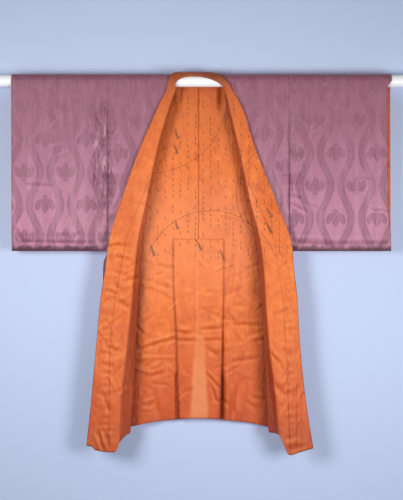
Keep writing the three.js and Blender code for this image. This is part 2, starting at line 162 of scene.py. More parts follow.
# The neck: the turned-out fold and the collar seam are arches over the rod's front
NECK_FOLD_RISE = 36 * MM
NECK_SEAM_RISE = 74 * MM
NECK_SEAM_MARGIN = 10 * MM
NECK_LEAN = 22 * MM
NECK_STRIP_NARROWING = 2 * MM
NECK_LOFT = 1.5 * MM
NECK_LOFT_REACH = 8 * MM
NECK_LOFT_START = 0.4

# Points across and down each piece's grid
FRONT_COLUMNS, NECK_ROWS, FRONT_ROWS = 49, 31, 191
COLLAR_COLUMNS, COLLAR_ROWS, ARCH_ROWS = 25, 201, 122
BACK_COLUMNS, SHOULDER_ROWS, BACK_ROWS = 61, 13, 221
VENT_COLUMNS, VENT_ROWS = 37, 121
SLEEVE_COLUMNS, SLEEVE_ROWS = 77, 241

# How rows crowd towards the neck, and where across a front its hem is read first
ROW_POWER = 1.15
HEM_MIDDLE = 100 * MM

# How far seams and sleeve bottoms draw the cloth together
SIDE_PINCH = 80 * MM
FOOT_PINCH = 70 * MM
ARMHOLE_EASE = 25 * MM
ARMHOLE_PARTING = 2.5 * MM

# The flat cloth of each panel, as width and length in metres
FLAT = {
    "front": (0.33, 1.18),
    "back": (0.32, 1.15),
    "collar": (0.08, 2.6),
    "vent_panel": (0.162, 0.575),
    "sleeve": (0.33, 1.15),
}

# How each fold is shaped down the front: the strip ends at the shoulder, drops steeply to the
# ledge, and the cloth then turns behind. Both are distances outwards from the fold's edge
FOLD_SHAPE = table(
    "z left_shoulder left_ledge right_shoulder right_ledge",
    (-24, 3.1, 0.6, 3.1, 0.6),
    (-90, 5, 1, 5, 1),
    (-215, 6, 2, 8, 2),
    (-375, 8, 2, 10, 3),
    (-500, 13, 3, 12, 3),
    (-690, 20, 3, 14, 3),
    (-820, 27, 3, 16, 4),
    (-1000, 38, 4, 30, 14),
    (-1110, 34, 6, 33, 18),
    (-1180, 32, 6, 33, 18),
)

# The vent and its panel, which narrows to its foot
VENT_PANEL = table("z left right", (-500, 80, 80), (-650, 78, 79), (-800, 69, 75), (-1070, 61, 67))
VENT_SPREAD = 22 * MM
VENT_INSET = 3.4 * MM
VENT_HANG = 5 * MM
VENT_HANG_REACH = 400 * MM

# A fold's section in shares of its radius, and how far its corners are rounded
LEDGE_STAND = 0.7
EDGE_STAND = 0.45
BEHIND_OUT = 0.7
CORNER_ROUNDING = 0.42

# How the right cuff's setback in front eases in, and how strong a sleeve foot's puckers are
CUFF_EASE_TOP = 20 * MM
CUFF_EASE_FOOT = 200 * MM
SLEEVE_FOOT_SHARE = 0.7

# How a sleeve's columns crowd towards its armhole
SLEEVE_COLUMN_POWER = 1.3

# How a rolled fold crowds the columns of the grid towards it
TURN_CROWDING = 40 * MM

# Creases pressed or pulled into the cloth, each along a line in the front view. depth is how far
# the cloth sinks away from the viewer, less than nothing on a ridge
CREASE_NAMES = "x0 z0 x1 z1 width depth"
LINING_CREASES = table(
    CREASE_NAMES,
    (-204, -852, -82, -817, 5, 2.6),
    (-204, -877, -84, -876, 4, -1.0),
    (-206, -779, -183, -801, 4, 2.0),
    (-204, -838, -180, -860, 4, 1.6),
    (-160, -935, -120, -925, 5, 1.2),
    (-78, -797, -32, -801, 6, 2.5),
    (-76, -822, -28, -824, 5, 2.0),
    (0, -788, 64, -784, 5, 1.5),
    (4, -822, 64, -821, 4, 1.5),
    (20, -850, 50, -870, 6, 1.6),
    (17, -930, 55, -971, 4, 2.5),
    (28, -960, 45, -1011, 4, 2.5),
    (101, -569, 81, -693, 9, 3.0),
    (90, -772, 190, -775, 5, 1.4),
    (96, -890, 180, -880, 6, 1.2),
    (120, -960, 100, -1060, 9, 2.0),
    (-150, -970, -140, -1060, 8, 2.0),
    (66, -20, 62, -104, 8, 3.0),
    (46, -20, 44, -96, 7, -2.0),
    (-92, -20, -90, -70, 6, 2.0),
    (-66, -20, -68, -60, 6, 1.5),
    (-10, -20, -12, -420, 6, 0.8),
)
STRIP_CREASES = table(
    CREASE_NAMES,
    (-268, -554, -220, -571, 4, 2.2),
    (-258, -610, -239, -616, 3.5, 1.8),
    (-276, -640, -250, -668, 6, 1.4),
    (-268, -692, -231, -714, 7, 2.6),
    (-302, -837, -253, -853, 4, 2.2),
    (-309, -890, -274, -904, 4, 1.8),
    (-290, -933, -271, -966, 3.5, -1.6),
    (-312, -985, -290, -1040, 6, 1.6),
    (-335, -1113, -324, -1152, 4.5, -2.4),
    (-322, -1105, -311, -1160, 4, 2.2),
    (-310, -1123, -297, -1156, 4.5, -2.4),
    (-298, -1108, -290, -1156, 4, 2.2),
    (223, -868, 242, -882, 4, 2.4),
    (230, -884, 250, -892, 3.5, 1.6),
    (228, -955, 252, -985, 9, 3.0),
    (301, -960, 300, -1165, 3, 1.4),
    (270, -1140, 300, -1128, 5, -1.6),
    (276, -1157, 330, -1150, 5, 1.4),
    (252, -640, 262, -760, 9, -1.2),
    (196, -300, 236, -312, 4, 1.0),
    (-182, -236, -160, -250, 4, 1.2),
    (-214, -390, -176, -392, 3.5, 1.2),
)
FRONT_CREASES = table(
    CREASE_NAMES,
    (340, -139, 331, -209, 4.5, 2.2),
    (331, -209, 309, -260, 4.5, 2.2),
    (292, -367, 315, -375, 3.5, 1.8),
    (292, -393, 328, -413, 3.5, 2.0),
    (530, -407, 594, -416, 3.5, 1.6),
    (-587, -471, -568, -507, 5, 3.0),
    (-568, -510, -340, -514, 4, 1.8),
    (300, -513, 420, -520, 7, 3.0),
    (420, -518, 590, -516, 6, 2.4),
    (-560, -330, -470, -335, 5, 1.0),
    (88, -16, 92, -60, 5, 2.4),
    (110, -14, 140, -90, 7, 1.6),
    (-420, -60, -424, -200, 10, 1.4),
    (400, -60, 404, -180, 10, 1.2),
)
BACK_CREASES = table(
    CREASE_NAMES,
    (-190, -640, -110, -668, 5, 2.0),
    (60, -420, 150, -440, 5, 1.6),
    (-60, -220, -40, -420, 9, 1.6),
    (150, -820, 220, -800, 5, 1.8),
    (-230, -900, -150, -930, 6, 2.0),
    (350, -160, 330, -250, 5, 2.0),
    (-560, -430, -500, -470, 5, 2.0),
    (300, -505, 560, -512, 6, 2.4),
    (-570, -505, -330, -512, 5, 2.0),
    (90, -960, 120, -1060, 8, 1.6),
)

VENT_TROUGHS = table(
    CREASE_NAMES,
    (65, -800, 66, -1090, 6, 3.5),
    (66, -930, 67, -1100, 7, 5.0),
    (-78, -930, -80, -1100, 6, 6.0),
    (-76, -560, -74, -760, 5, 1.5),
)
NO_CREASES = table(CREASE_NAMES, (0, 0, 1, 1, 1, 0))


def scattered_creases(seed, count, low, high, lean, length, width, depth):
    """A table of short creases whose middles lie in a box of the front view. Their places, turns
    from level, lengths, widths and depths are drawn evenly between two ends each."""
    draw = np.random.default_rng(seed)
    x, z = draw.uniform(low[0], high[0], count), draw.uniform(low[1], high[1], count)
    turn = np.radians(draw.uniform(*lean, count))
    half = draw.uniform(*length, count) / 2
    reach_x, reach_z = half * np.cos(turn), half * np.sin(turn)
    widths, depths = draw.uniform(*width, count), draw.uniform(*depth, count)
    rows = np.stack([x - reach_x, z - reach_z, x + reach_x, z + reach_z, widths, depths], -1)
    return table(CREASE_NAMES, *rows)


# Small creases of no set place: beside both armholes, on the turned-out strips and on the back
ARMHOLE_CREASES = (
    scattered_creases(3, 34, (-345, -500), (-298, -90), (55, 125), (14, 60), (2.2, 3.6), (-1.6, 1.8)),
    scattered_creases(4, 20, (292, -500), (325, -150), (60, 120), (14, 50), (2.4, 3.6), (-1.2, 1.5)),
    scattered_creases(5, 16, (-285, -480), (-225, -120), (50, 110), (12, 40), (2.4, 4), (-1.2, 1.4)),
)
CRUMPLED_STRIPS = (
    scattered_creases(6, 26, (-305, -700), (-215, -500), (-30, 40), (16, 52), (3, 5.5), (-1.7, 2.0)),
    scattered_creases(7, 34, (-335, -1140), (-245, -700), (-70, 60), (14, 46), (2.6, 5), (-1.2, 1.4)),
    scattered_creases(8, 40, (225, -1140), (325, -560), (-75, 75), (14, 46), (2.6, 5), (-1.2, 1.4)),
    scattered_creases(9, 22, (-245, -480), (-150, -120), (-30, 60), (12, 44), (3, 5), (-0.9, 1.0)),
    scattered_creases(10, 22, (120, -520), (240, -120), (-60, 30), (12, 44), (3, 5), (-0.9, 1.0)),
)
RUMPLED_BACK = (
    scattered_creases(11, 46, (-200, -1060), (-80, -560), (-40, 50), (16, 60), (3, 6), (-1.0, 1.2)),
    scattered_creases(12, 46, (60, -1060), (200, -560), (-60, 40), (16, 60), (3, 6), (-1.0, 1.2)),
    scattered_creases(13, 26, (-70, -1040), (60, -540), (-50, 50), (14, 50), (3, 6), (-0.9, 1.1)),
)
SLEEVE_CREASES = (
    scattered_creases(14, 22, (-660, -500), (-350, -100), (-80, 80), (16, 70), (3, 6), (-0.8, 0.9)),
    scattered_creases(15, 22, (340, -500), (660, -100), (-80, 80), (16, 70), (3, 6), (-0.8, 0.9)),
)
CREASE_END = 3
CREASE_STRENGTH = 1.8

# Long soft waves of the hanging cloth: their number, seed, height and how fast they change
WAVE_COUNT = 11
WAVE_SEED = 20
WAVE_HEIGHT = 1.3 * MM
WAVE_RATE_ACROSS = 75
WAVE_RATE_DOWN = 22

# Shade painted in the folds: how far inside a fold's edge it begins, near the neck and below, its
# strength at half height, and its least strength on top of the shoulder
FOLD_SHADE_START = 6 * MM
FOLD_SHADE_REACH = 26 * MM
FOLD_SHADE_MIDDLE = 0.85
SHOULDER_SHADE = 0.34

# Shade painted beside the vent panel: its width where the panel is sewn down, and its least and
# full strength
VENT_SHADE_WIDTH = 7 * MM
VENT_SHADE_STRENGTH = (0.25, 0.9)

# Light and shade painted on creases: the least fall between rows that gives a slope, the slope of
# full light, and its share
LEVEL_STEP = 0.5 * MM
FULL_SLOPE = 0.22
LIGHT_SHARE = 0.26

# Painted shade on the outer silk: bands at the foot of a sleeve, along the armhole seam and on top
FOOT_SHADE_BAND = 20 * MM
FOOT_SHADE_EDGE = 12 * MM
SEAM_SHADE_BAND = 4 * MM
SEAM_SHADE_STRENGTH = 0.6
TOP_SHADE_STRENGTH = 0.35

# Small puckers that the stitches of a seam gather beside it
PUCKER_HEIGHT = 1.1 * MM
PUCKER_LENGTH = 27 * MM
PUCKER_REACH = 15 * MM
PUCKER_DRIFT = 150 * MM

# How far the lining is set in from the outer silk's edge at a hem and at the free edge
LINING_INSET = 1.4 * MM

# The two sides. groove is 1 where the lower fold shows a lit ledge between two lines of painted shade, and
# vent_shade how wide the painted shade in the gap beside the vent panel is at the hem, from the height
# vent_from
LEFT = {
    "name": "left",
    "out": -1,
    "front": LEFT_FRONT,
    "hem": LEFT_HEM,
    "cuff_setback": 0,
    "groove": 0,
    "high_shade": 0.6,
    "low_shade": 0.55,
    "vent_shade": 10 * MM,
    "vent_from": 0.9,
}
RIGHT = {
    "name": "right",
    "out": 1,
    "front": RIGHT_FRONT,
    "hem": RIGHT_HEM,
    "cuff_setback": 12 * MM,
    "groove": 1,
    "high_shade": 0.85,
    "low_shade": 0.85,
    "vent_shade": 13 * MM,
    "vent_from": 0.76,
}
SIDES = (LEFT, RIGHT)

# Offsets of each cloth's two faces from the surface halfway between them, and its set-in
OUTER = {
    "name": "outer",
    "slot": "figured_silk",
    "low": CLOTH_GAP / 2,
    "high": CLOTH_GAP / 2 + OUTER_WALL,
    "inset": 0,
}
LINING = {
    "name": "lining",
    "slot": "lining_silk",
    "low": -CLOTH_GAP / 2 - LINING_WALL,
    "high": -CLOTH_GAP / 2,
    "inset": LINING_INSET,
}
CLOTHS = (OUTER, LINING)


def smoothstep(value, low, high):
    """0 below low, 1 above high, and 3t^2 - 2t^3 between them."""
    t = np.clip((value - low) / (high - low), 0, 1)
    return t * t * (3 - 2 * t)


def mix(a, b, f):
    """The value that lies a share f of the way from a to b."""
    return a + (b - a) * f


def ease_from(distance, reach):
    """A quarter sine wave that rises from 0 at an edge to 1 at reach."""
    return np.sin(math.pi / 2 * np.clip(distance / reach, 0, 1))


def read(rows, key, at, column):
    """One column of a table at places between its rows: a cubic Hermite curve whose slope in each
    row is that of the line between the row's two neighbours."""
    k, v = rows[key], rows[column]
    if k[-1] < k[0]:
        k, v = k[::-1], v[::-1]
    last = len(k) - 1
    before = np.maximum(np.arange(last + 1) - 1, 0)
    after = np.minimum(np.arange(last + 1) + 1, last)
    slope = (v[after] - v[before]) / (k[after] - k[before])
    i = np.clip(np.searchsorted(k, at) - 1, 0, last - 1)
    span = k[i + 1] - k[i]
    f = np.clip((at - k[i]) / span, 0, 1)
    g = 1 - f
    ends = v[i] * g * g * (1 + 2 * f) + v[i + 1] * f * f * (1 + 2 * g)
    return ends + span * f * g * (slope[i] * g - slope[i + 1] * f)


def fold_depth(folds, at):
    """The sum of one bell curve for each fold of a table."""
    distance = (np.asarray(at)[..., None] - folds["at"]) / folds["width"]
    return (folds["depth"] * np.exp(-2 * distance**2)).sum(-1)


def relief(x, z, lines):
    """How far creases push the cloth away from the viewer. Along each line a bell curve makes a
    trough, and a softer one of half its depth a ridge above it; both fade out at the ends."""
    x, z = x[..., None], z[..., None]
    way_x, way_z = lines["x1"] - lines["x0"], lines["z1"] - lines["z0"]
    length = np.hypot(way_x, way_z)
    along = ((x - lines["x0"]) * way_x + (z - lines["z0"]) * way_z) / length
    off = ((z - lines["z0"]) * way_x - (x - lines["x0"]) * way_z) / length
    end = CREASE_END * lines["width"]
    ends = smoothstep(along, -end, end) * smoothstep(length - along, -end, end)
    off = off / lines["width"]
    profile = np.exp(-off**2) - np.exp(-((off - 2.2) ** 2) / 2) / 2
    return CREASE_STRENGTH * (lines["depth"] * ends * profile).sum(-1)


def soft_waves(x, z):
    """Long waves of hanging cloth: a sum of cosines whose directions, rates and phases are drawn
    from a seeded generator, faster across than down, growing from the rod downwards."""
    draw = np.random.default_rng(WAVE_SEED)
    across = draw.uniform(-WAVE_RATE_ACROSS, WAVE_RATE_ACROSS, WAVE_COUNT)
    down = draw.uniform(-WAVE_RATE_DOWN, WAVE_RATE_DOWN, WAVE_COUNT)
    phase = draw.uniform(0, 2 * math.pi, WAVE_COUNT)
    waves = np.cos(x[..., None] * across + z[..., None] * down + phase).sum(-1)
    return WAVE_HEIGHT * waves / math.sqrt(WAVE_COUNT) * smoothstep(-z, 10 * MM, 160 * MM)


def fold_shade(x, z):
    """Painted shade in the folds, 0 to 1, for each place in the front view. Beside each turned-out front
    it rises softly from inside to the fold's edge and ends sharply at the shoulder of the strip;
    beside the vent panel it widens towards the hem; and a lighter painted shade lies on top, near the rod."""
    total = np.zeros(np.shape(x))
    for side in SIDES:
        name = side["name"]
        off = side["out"] * x - read(side["front"], "z", z, "fold")
        shoulder = read(FOLD_SHAPE, "z", z, name + "_shoulder")
        ledge = read(FOLD_SHAPE, "z", z, name + "_ledge")
        reach = mix(FOLD_SHADE_START, FOLD_SHADE_REACH, smoothstep(-z, 0.35, 0.7))
        inside = smoothstep(off, -reach, 1 * MM) * (1 - smoothstep(off, ledge, ledge + 4 * MM))
        start = mix(ledge - 3 * MM, shoulder - 15 * MM, side["groove"] * smoothstep(-z, 0.90, 1.0))
        groove = smoothstep(off, start, start + 4 * MM)
        groove = groove * (1 - smoothstep(off, shoulder - 1 * MM, shoulder + 1.5 * MM))
        strength = mix(side["high_shade"], FOLD_SHADE_MIDDLE, smoothstep(-z, 0.4, 0.75))
        strength = mix(strength, side["low_shade"], smoothstep(-z, 0.85, 1.05))
        strength = strength * smoothstep(-z, 20 * MM, 60 * MM)
        own = strength * np.maximum(inside**2, groove)
        panel = side["out"] * (x - BODY_CENTRE) - read(VENT_PANEL, "z", z, name)
        opening = smoothstep(-z, side["vent_from"], -VENT_FOOT)
        width = mix(VENT_SHADE_WIDTH, side["vent_shade"], opening)
        beside = smoothstep(panel, -6 * MM, 0) * (1 - smoothstep(panel, width / 3, width * 1.4))
        beside = beside * smoothstep(VENT_TOP - z, 0, 20 * MM) * mix(*VENT_SHADE_STRENGTH, opening)
        total = np.maximum(total, np.maximum(own, beside))
    return np.maximum(total, SHOULDER_SHADE * smoothstep(z, -90 * MM, 5 * MM))


def puckers(distance, along):
    """Puckers beside a seam: a cosine along it, whose phase drifts as another cosine, and which
    dies out as an exponential of the distance from the seam."""
    drift = 2.5 * np.cos(2 * math.pi * along / PUCKER_DRIFT)
    wave = np.cos(2 * math.pi * along / PUCKER_LENGTH + drift)
    return PUCKER_HEIGHT * wave * np.exp(-np.maximum(distance, 0) / PUCKER_REACH)


def creased(points, *tables):
    """Points moved along Y by the long waves, the armhole puckers and the tables of creases."""
    x, z = points[..., 0], points[..., 2]
    seam = np.abs(np.abs(x - BODY_CENTRE) - BODY_HALF_WIDTH)
    moved = soft_waves(x, z) + puckers(seam, z) * smoothstep(-z, 30 * MM, 130 * MM)
    moved = moved + sum(relief(x, z, lines) for lines in tables)
    return points + np.stack([0 * moved, moved, 0 * moved], -1)


def side_x(side, z):
    """How far the side of the body lies from x = 0."""
    return BODY_CENTRE + side["out"] * (read(SIDE, "z", z, "out") - HALF_GAP)


def closed_at(z):
    """Rises from 0 above the armhole's foot to 1 below it, where the edges are sewn together."""
    return smoothstep(ARMHOLE_FOOT - z, -ARMHOLE_EASE, ARMHOLE_EASE)


def pinched(depth, amount):
    """A half depth that falls to the tightest one where amount is 0."""
    return TIGHTEST_HALF_DEPTH + (depth - TIGHTEST_HALF_DEPTH) * amount


def body_half_depth(x, z, folds=NO_FOLDS):
    """Half the body's depth: full over the rod, drawn together at the side seam."""
    side = np.where(x < BODY_CENTRE, side_x(LEFT, z), side_x(RIGHT, z))
    inside = np.where(x < BODY_CENTRE, x - side, side - x)
    amount = mix(1, ease_from(inside, SIDE_PINCH), closed_at(z))
    swing = smoothstep(-z, 60 * MM, 700 * MM)
    return pinched(read(BODY_HALF_DEPTH, "z", z, "depth") - fold_depth(folds, x) * swing, amount)


def sleeve_half_depth(x, z):
    """Half a sleeve's depth: drawn together at its bottom seam and below the armhole."""
    inside = np.abs(x - BODY_CENTRE) - BODY_HALF_WIDTH - ARMHOLE_PARTING
    at_edge = mix(1, ease_from(inside, SIDE_PINCH), closed_at(z))
    at_foot = ease_from(z - SLEEVE_FOOT, FOOT_PINCH)
    swing = smoothstep(-z, 60 * MM, 400 * MM)
    depth = read(SLEEVE_HALF_DEPTH, "z", z, "depth") - fold_depth(SLEEVE_FOLDS, np.abs(x)) * swing
    return pinched(depth, at_edge * at_foot)


def hang(x, drop, stand, half_depth):
    """Points of cloth over the rod. drop is the way down from the shoulder crease, positive on the
    front and negative on the back, and stand is how far the cloth lies off what hangs there: a
    quarter circle of radius rest + stand, and then straight down at the half depth + stand."""
    facing = np.where(drop < 0, 1.0, -1.0)
    down = np.abs(drop)
    z = QUARTER_TURN - down
    turn = np.minimum(down, QUARTER_TURN) / REST_RADIUS
    over = down < QUARTER_TURN
    depth = half_depth(x, np.minimum(z, 0)) + stand
    y = facing * np.where(over, (REST_RADIUS + stand) * np.sin(turn), depth)
    z = np.where(over, (REST_RADIUS + stand) * np.cos(turn), z)
    return np.stack(np.broadcast_arrays(x, y, z), -1)


def drop_at(z):
    """The way down from the shoulder crease to a height below the rod's axis."""
    return QUARTER_TURN - z


def section(reach, roll, lift, shoulder, ledge):
    """One section across a turned-out front, as the corners of a path: the free edge, the shoulder
    where the strip ends, the ledge, the fold's edge, and where the cloth lies flat behind."""
    corners = [
        (reach, lift),
        (shoulder, 2 * roll),
        (ledge, LEDGE_STAND * roll),
        (0 * roll, EDGE_STAND * roll),
        (BEHIND_OUT * roll, 0 * roll),
    ]
    lengths = [np.hypot(b[0] - a[0], b[1] - a[1]) for a, b in zip(corners, corners[1:])]
    return {
        "roll": roll,
        "corners": corners,
        "lengths": lengths,
        "strip": lengths[0],
        "turn": lengths[1] + lengths[2] + lengths[3],
    }


def on_path(cut, across):
    """Outwards and stand along the section's path, by the distance from its free edge: straight
    from corner to corner, but for the strip, which bows as 1 - (1 - f)^2, and flat at the end."""
    corners, lengths = cut["corners"], cut["lengths"]
    start = np.zeros_like(across)
    out, stand = 0 * across, 0 * across
    for leg, (a, b) in enumerate(zip(corners, corners[1:])):
        f = (across - start) / lengths[leg]
        rise = 1 - (1 - np.clip(f, 0, 1)) ** 2 if leg == 0 else f
        inside = (across >= start) | (leg == 0)
        out = np.where(inside, mix(a[0], b[0], f), out)
        stand = np.where(inside, mix(a[1], b[1], rise), stand)
        start = start + lengths[leg]
    past = across - start
    return np.where(past > 0, corners[-1][0] + past, out), np.where(past > 0, 0, stand)


def across_section(cut, across):
    """Where the cloth is, outwards from the fold and off the front. The path's corners are rounded
    by taking its mean over a short stretch on both sides of each point."""
    reach = CORNER_ROUNDING * cut["roll"]
    shares = np.linspace(-1, 1, 9)
    weights = (1 - np.abs(shares) * 0.8) / (1 - np.abs(shares) * 0.8).sum()
    parts = [on_path(cut, across + share * reach) for share in shares]
    out = sum(weight * part[0] for weight, part in zip(weights, parts))
    stand = sum(weight * part[1] for weight, part in zip(weights, parts))
    return out, stand


def spread(cut, start, end, u):
    """Distances across a section for shares u of the way from start to end, where the turn counts
    as longer than it is, so that the columns crowd towards it."""
    strip, turn = cut["strip"], cut["turn"]

    def measure(across):
        return across + TURN_CROWDING * np.clip((across - strip) / turn, 0, 1)

    value = mix(measure(start), measure(end), u)
    on_roll = strip + (value - strip) * turn / (turn + TURN_CROWDING)
    past = value >= strip + turn + TURN_CROWDING
    return np.where(value < strip, value, np.where(past, value - TURN_CROWDING, on_roll))


def front_section(side, z):
    """The section across a front at a height."""
    rows = side["front"]
    edge, fold, roll, lift = (read(rows, "z", z, name) for name in ("edge", "fold", "roll", "lift"))
    shoulder, ledge = (read(FOLD_SHAPE, "z", z, f"{side['name']}_{name}") for name in ("shoulder", "ledge"))
    return section(edge - fold, roll, lift, shoulder, ledge)


def front_points(side, z, across):
    """Points of a front below the neck, by height and distance across the cloth."""
    cut = front_section(side, z)
    out, stand = across_section(cut, across)
    fold = side["out"] * read(side["front"], "z", z, "fold")
    behind = across > cut["strip"] + cut["turn"]
    root_out = np.maximum(BEHIND_OUT * cut["roll"], np.where(behind, out, 0))
    root = fold + side["out"] * root_out
    return hang(fold + side["out"] * out, drop_at(z), stand, lambda x, low: body_half_depth(root, low))


NECK_DROP = drop_at(NECK_FOOT)
NECK_HALF = (LEFT_FRONT["fold"][0] + RIGHT_FRONT["fold"][0]) / 2
NECK_CENTRE = (RIGHT_FRONT["fold"][0] - LEFT_FRONT["fold"][0]) / 2
SHOULDER_ANGLE = math.asin((NECK_DROP - HALF_GAP) / NECK_SEAM_RISE)


def neck_arch(angle, margin, rise):
    """An arch at the neck as x and drop: an ellipse that leans to the left at its top."""
    x = NECK_CENTRE - (NECK_HALF + margin) * np.cos(angle) - NECK_LEAN * np.sin(angle)
    return x, NECK_DROP - rise * np.sin(angle)


def neck_seam(angle, margin):
    """The collar's seam round the neck, which stays just in front of the shoulder crease."""
    x, drop = neck_arch(angle, margin, NECK_SEAM_RISE)
    return x, np.maximum(HALF_GAP + SEAM_GAP, drop)


def leg_rows(v):
    """Shares of the way down a front for even shares v, closer together near the neck."""
    return v**ROW_POWER


def row_points(side, cloth, down, u, steps_at):
    """A row of a front or collar: the height falls from the neck's foot to the hem's height at each
    point's distance across, which steps_at gives for a height."""
    middle = mix(NECK_FOOT, read(side["hem"], "across", HEM_MIDDLE, "z") + cloth["inset"], down)
    across = steps_at(middle, u)
    z = mix(NECK_FOOT, read(side["hem"], "across", across, "z") + cloth["inset"], down)
    across = steps_at(z, u)
    points = front_points(side, z, across)
    cut = front_section(side, z)
    strip = np.where(across < cut["strip"] + cut["turn"] / 2, 1.0, 0.0)[..., None]
    behind = creased(points, FRONT_CREASES, *ARMHOLE_CREASES)
    points = mix(behind, creased(points, STRIP_CREASES, *CRUMPLED_STRIPS), strip)
    return points, across, drop_at(z)


def front_surface(side, cloth):
    """A front from its collar seam to the side seam: rows that fan out from the neck seam to the
    shoulder, then level rows across the rolled fold."""
    u = np.linspace(0, 1, FRONT_COLUMNS)[None, :]
    v = np.linspace(0, 1, NECK_ROWS)[:-1, None]
    angle = mix(SHOULDER_ANGLE, 0, v)
    angle = angle if side["out"] < 0 else math.pi - angle
    seam_x, seam_drop = neck_seam(angle, NECK_SEAM_MARGIN + SEAM_GAP)
    seam_drop = np.maximum(HALF_GAP, seam_drop - SEAM_GAP * (1 - v))
    x = mix(seam_x, side_x(side, 0), u)
    drop = mix(seam_drop, mix(HALF_GAP, NECK_DROP, v), u)
    neck = creased(hang(x, drop, 0, body_half_depth), FRONT_CREASES, *ARMHOLE_CREASES)
    neck_cloth = np.stack([np.abs(x), drop], -1)

    def steps_at(z, share):
        cut = front_section(side, z)
        edge_out = read(side["front"], "z", z, "fold") + BEHIND_OUT * cut["roll"]
        behind = np.abs(side_x(side, z)) - edge_out
        seam = read(COLLAR_WIDTH, "z", z, side["name"]) - SEAM_TUCK
        return spread(cut, seam, cut["strip"] + cut["turn"] + behind, share)

    down = leg_rows(np.linspace(0, 1, FRONT_ROWS)[:, None])
    leg, across, drop = row_points(side, cloth, down, u, steps_at)
    from_side = across[:, -1:] - across
    leg_cloth = np.stack([np.abs(side_x(side, 0)) - from_side, drop + 0 * from_side], -1)
    return np.concatenate([neck, leg]), np.concatenate([neck_cloth, leg_cloth])


def collar_surface(cloth):
    """The collar band: up the left front, round the neck and down the right front. Round the neck
    a section stands square to the arch of the fold and reaches to the seam."""
    u = np.linspace(0, 1, COLLAR_COLUMNS)[None, :]

    def leg(side, v):
        def steps_at(z, share):
            width = read(COLLAR_WIDTH, "z", z, side["name"])
            return spread(front_section(side, z), cloth["inset"], width, share)

        points, across, drop = row_points(side, cloth, leg_rows(v[:, None]), u, steps_at)
        return points, across, drop + 0 * across

    def arch(angle):
        fold = np.stack(neck_arch(angle, 0, NECK_FOLD_RISE), -1)
        way = np.stack(neck_seam(angle, NECK_SEAM_MARGIN), -1) - fold
        length = np.linalg.norm(way, axis=-1, keepdims=True)
        reach = mix(
            LEFT_FRONT["edge"][0] - LEFT_FRONT["fold"][0],
            RIGHT_FRONT["edge"][0] - RIGHT_FRONT["fold"][0],
            (1 - np.cos(angle)) / 2,
        ) - NECK_STRIP_NARROWING * np.sin(angle)
        roll, lift = LEFT_FRONT["roll"][0], LEFT_FRONT["lift"][0]
        cut = section(reach, roll, lift, FOLD_SHAPE["left_shoulder"][0], FOLD_SHAPE["left_ledge"][0])
        width = cut["strip"] + cut["turn"] + length[..., 0] - BEHIND_OUT * roll
        across = spread(cut, cloth["inset"], width, u)
        out, stand = across_section(cut, across)
        at = fold + way / length * out[..., None]
        loft = NECK_LOFT * ease_from(np.sin(angle), NECK_LOFT_START)
        loft = loft * smoothstep(width - across, 0, NECK_LOFT_REACH)
        return hang(at[..., 0], at[..., 1], stand + loft, body_half_depth), across, at[..., 1]

    parts = [
        leg(LEFT, np.linspace(1, 0, COLLAR_ROWS)),
        arch(np.linspace(0, math.pi, ARCH_ROWS)[1:-1, None]),
        leg(RIGHT, np.linspace(0, 1, COLLAR_ROWS)),
    ]
    points, across, drop = (np.concatenate(group) for group in zip(*parts))
    return points, np.stack([across, drop], -1)


def back_surface(side, cloth):
    """One half of the back, from the shoulder crease over the rod and down to the hem."""
    u = np.linspace(0, 1, BACK_COLUMNS)[None, :]
    v = np.linspace(0, 1, SHOULDER_ROWS)[:-1, None]
    x = mix(BODY_CENTRE + side["out"] * HALF_GAP, side_x(side, 0), u)
    drop = -mix(HALF_GAP, QUARTER_TURN, v) + 0 * u
    arc = hang(x, drop, 0, body_half_depth)
    arc_cloth = np.stack([x + 0 * v, drop], -1)
    foot = read(BACK_HEM, "across", u * BODY_HALF_WIDTH, "z") + cloth["inset"]
    z = mix(0, foot, np.linspace(0, 1, BACK_ROWS)[:, None])
    parting = HALF_GAP + VENT_SPREAD * smoothstep(VENT_TOP - z, 0, VENT_TOP - VENT_FOOT)
    x = mix(BODY_CENTRE + side["out"] * parting, side_x(side, z), u)
    hung = hang(x, -drop_at(z), 0, lambda px, pz: body_half_depth(px, pz, BACK_FOLDS))
    hung = creased(hung, LINING_CREASES, VENT_TROUGHS, *RUMPLED_BACK)
    behind = relief(hung[..., 0], hung[..., 2], BACK_CREASES)
    hung = hung - np.stack([0 * behind, behind, 0 * behind], -1)
    hung_cloth = np.stack([BODY_CENTRE + side["out"] * u * BODY_HALF_WIDTH + 0 * z, -drop_at(z)], -1)
    return np.concatenate([arc, hung]), np.concatenate([arc_cloth, hung_cloth])


def vent_surface(cloth):
    """The panel behind the open centre seam, inside the back and sewn to it along its top."""
    u = np.linspace(0, 1, VENT_COLUMNS)[None, :]
    z = mix(VENT_TOP, VENT_FOOT + cloth["inset"], np.linspace(0, 1, VENT_ROWS)[:, None])
    left, right = read(VENT_PANEL, "z", z, "left"), read(VENT_PANEL, "z", z, "right")
    x = BODY_CENTRE + mix(-left, right, u)
    inset = VENT_INSET + VENT_HANG * smoothstep(VENT_TOP - z, 0, VENT_HANG_REACH)
    points = hang(x, -drop_at(z) + 0 * u, -inset, lambda px, pz: body_half_depth(px, pz, BACK_FOLDS))
    return creased(points, LINING_CREASES, *RUMPLED_BACK), np.stack([x, -drop_at(z) + 0 * u], -1)


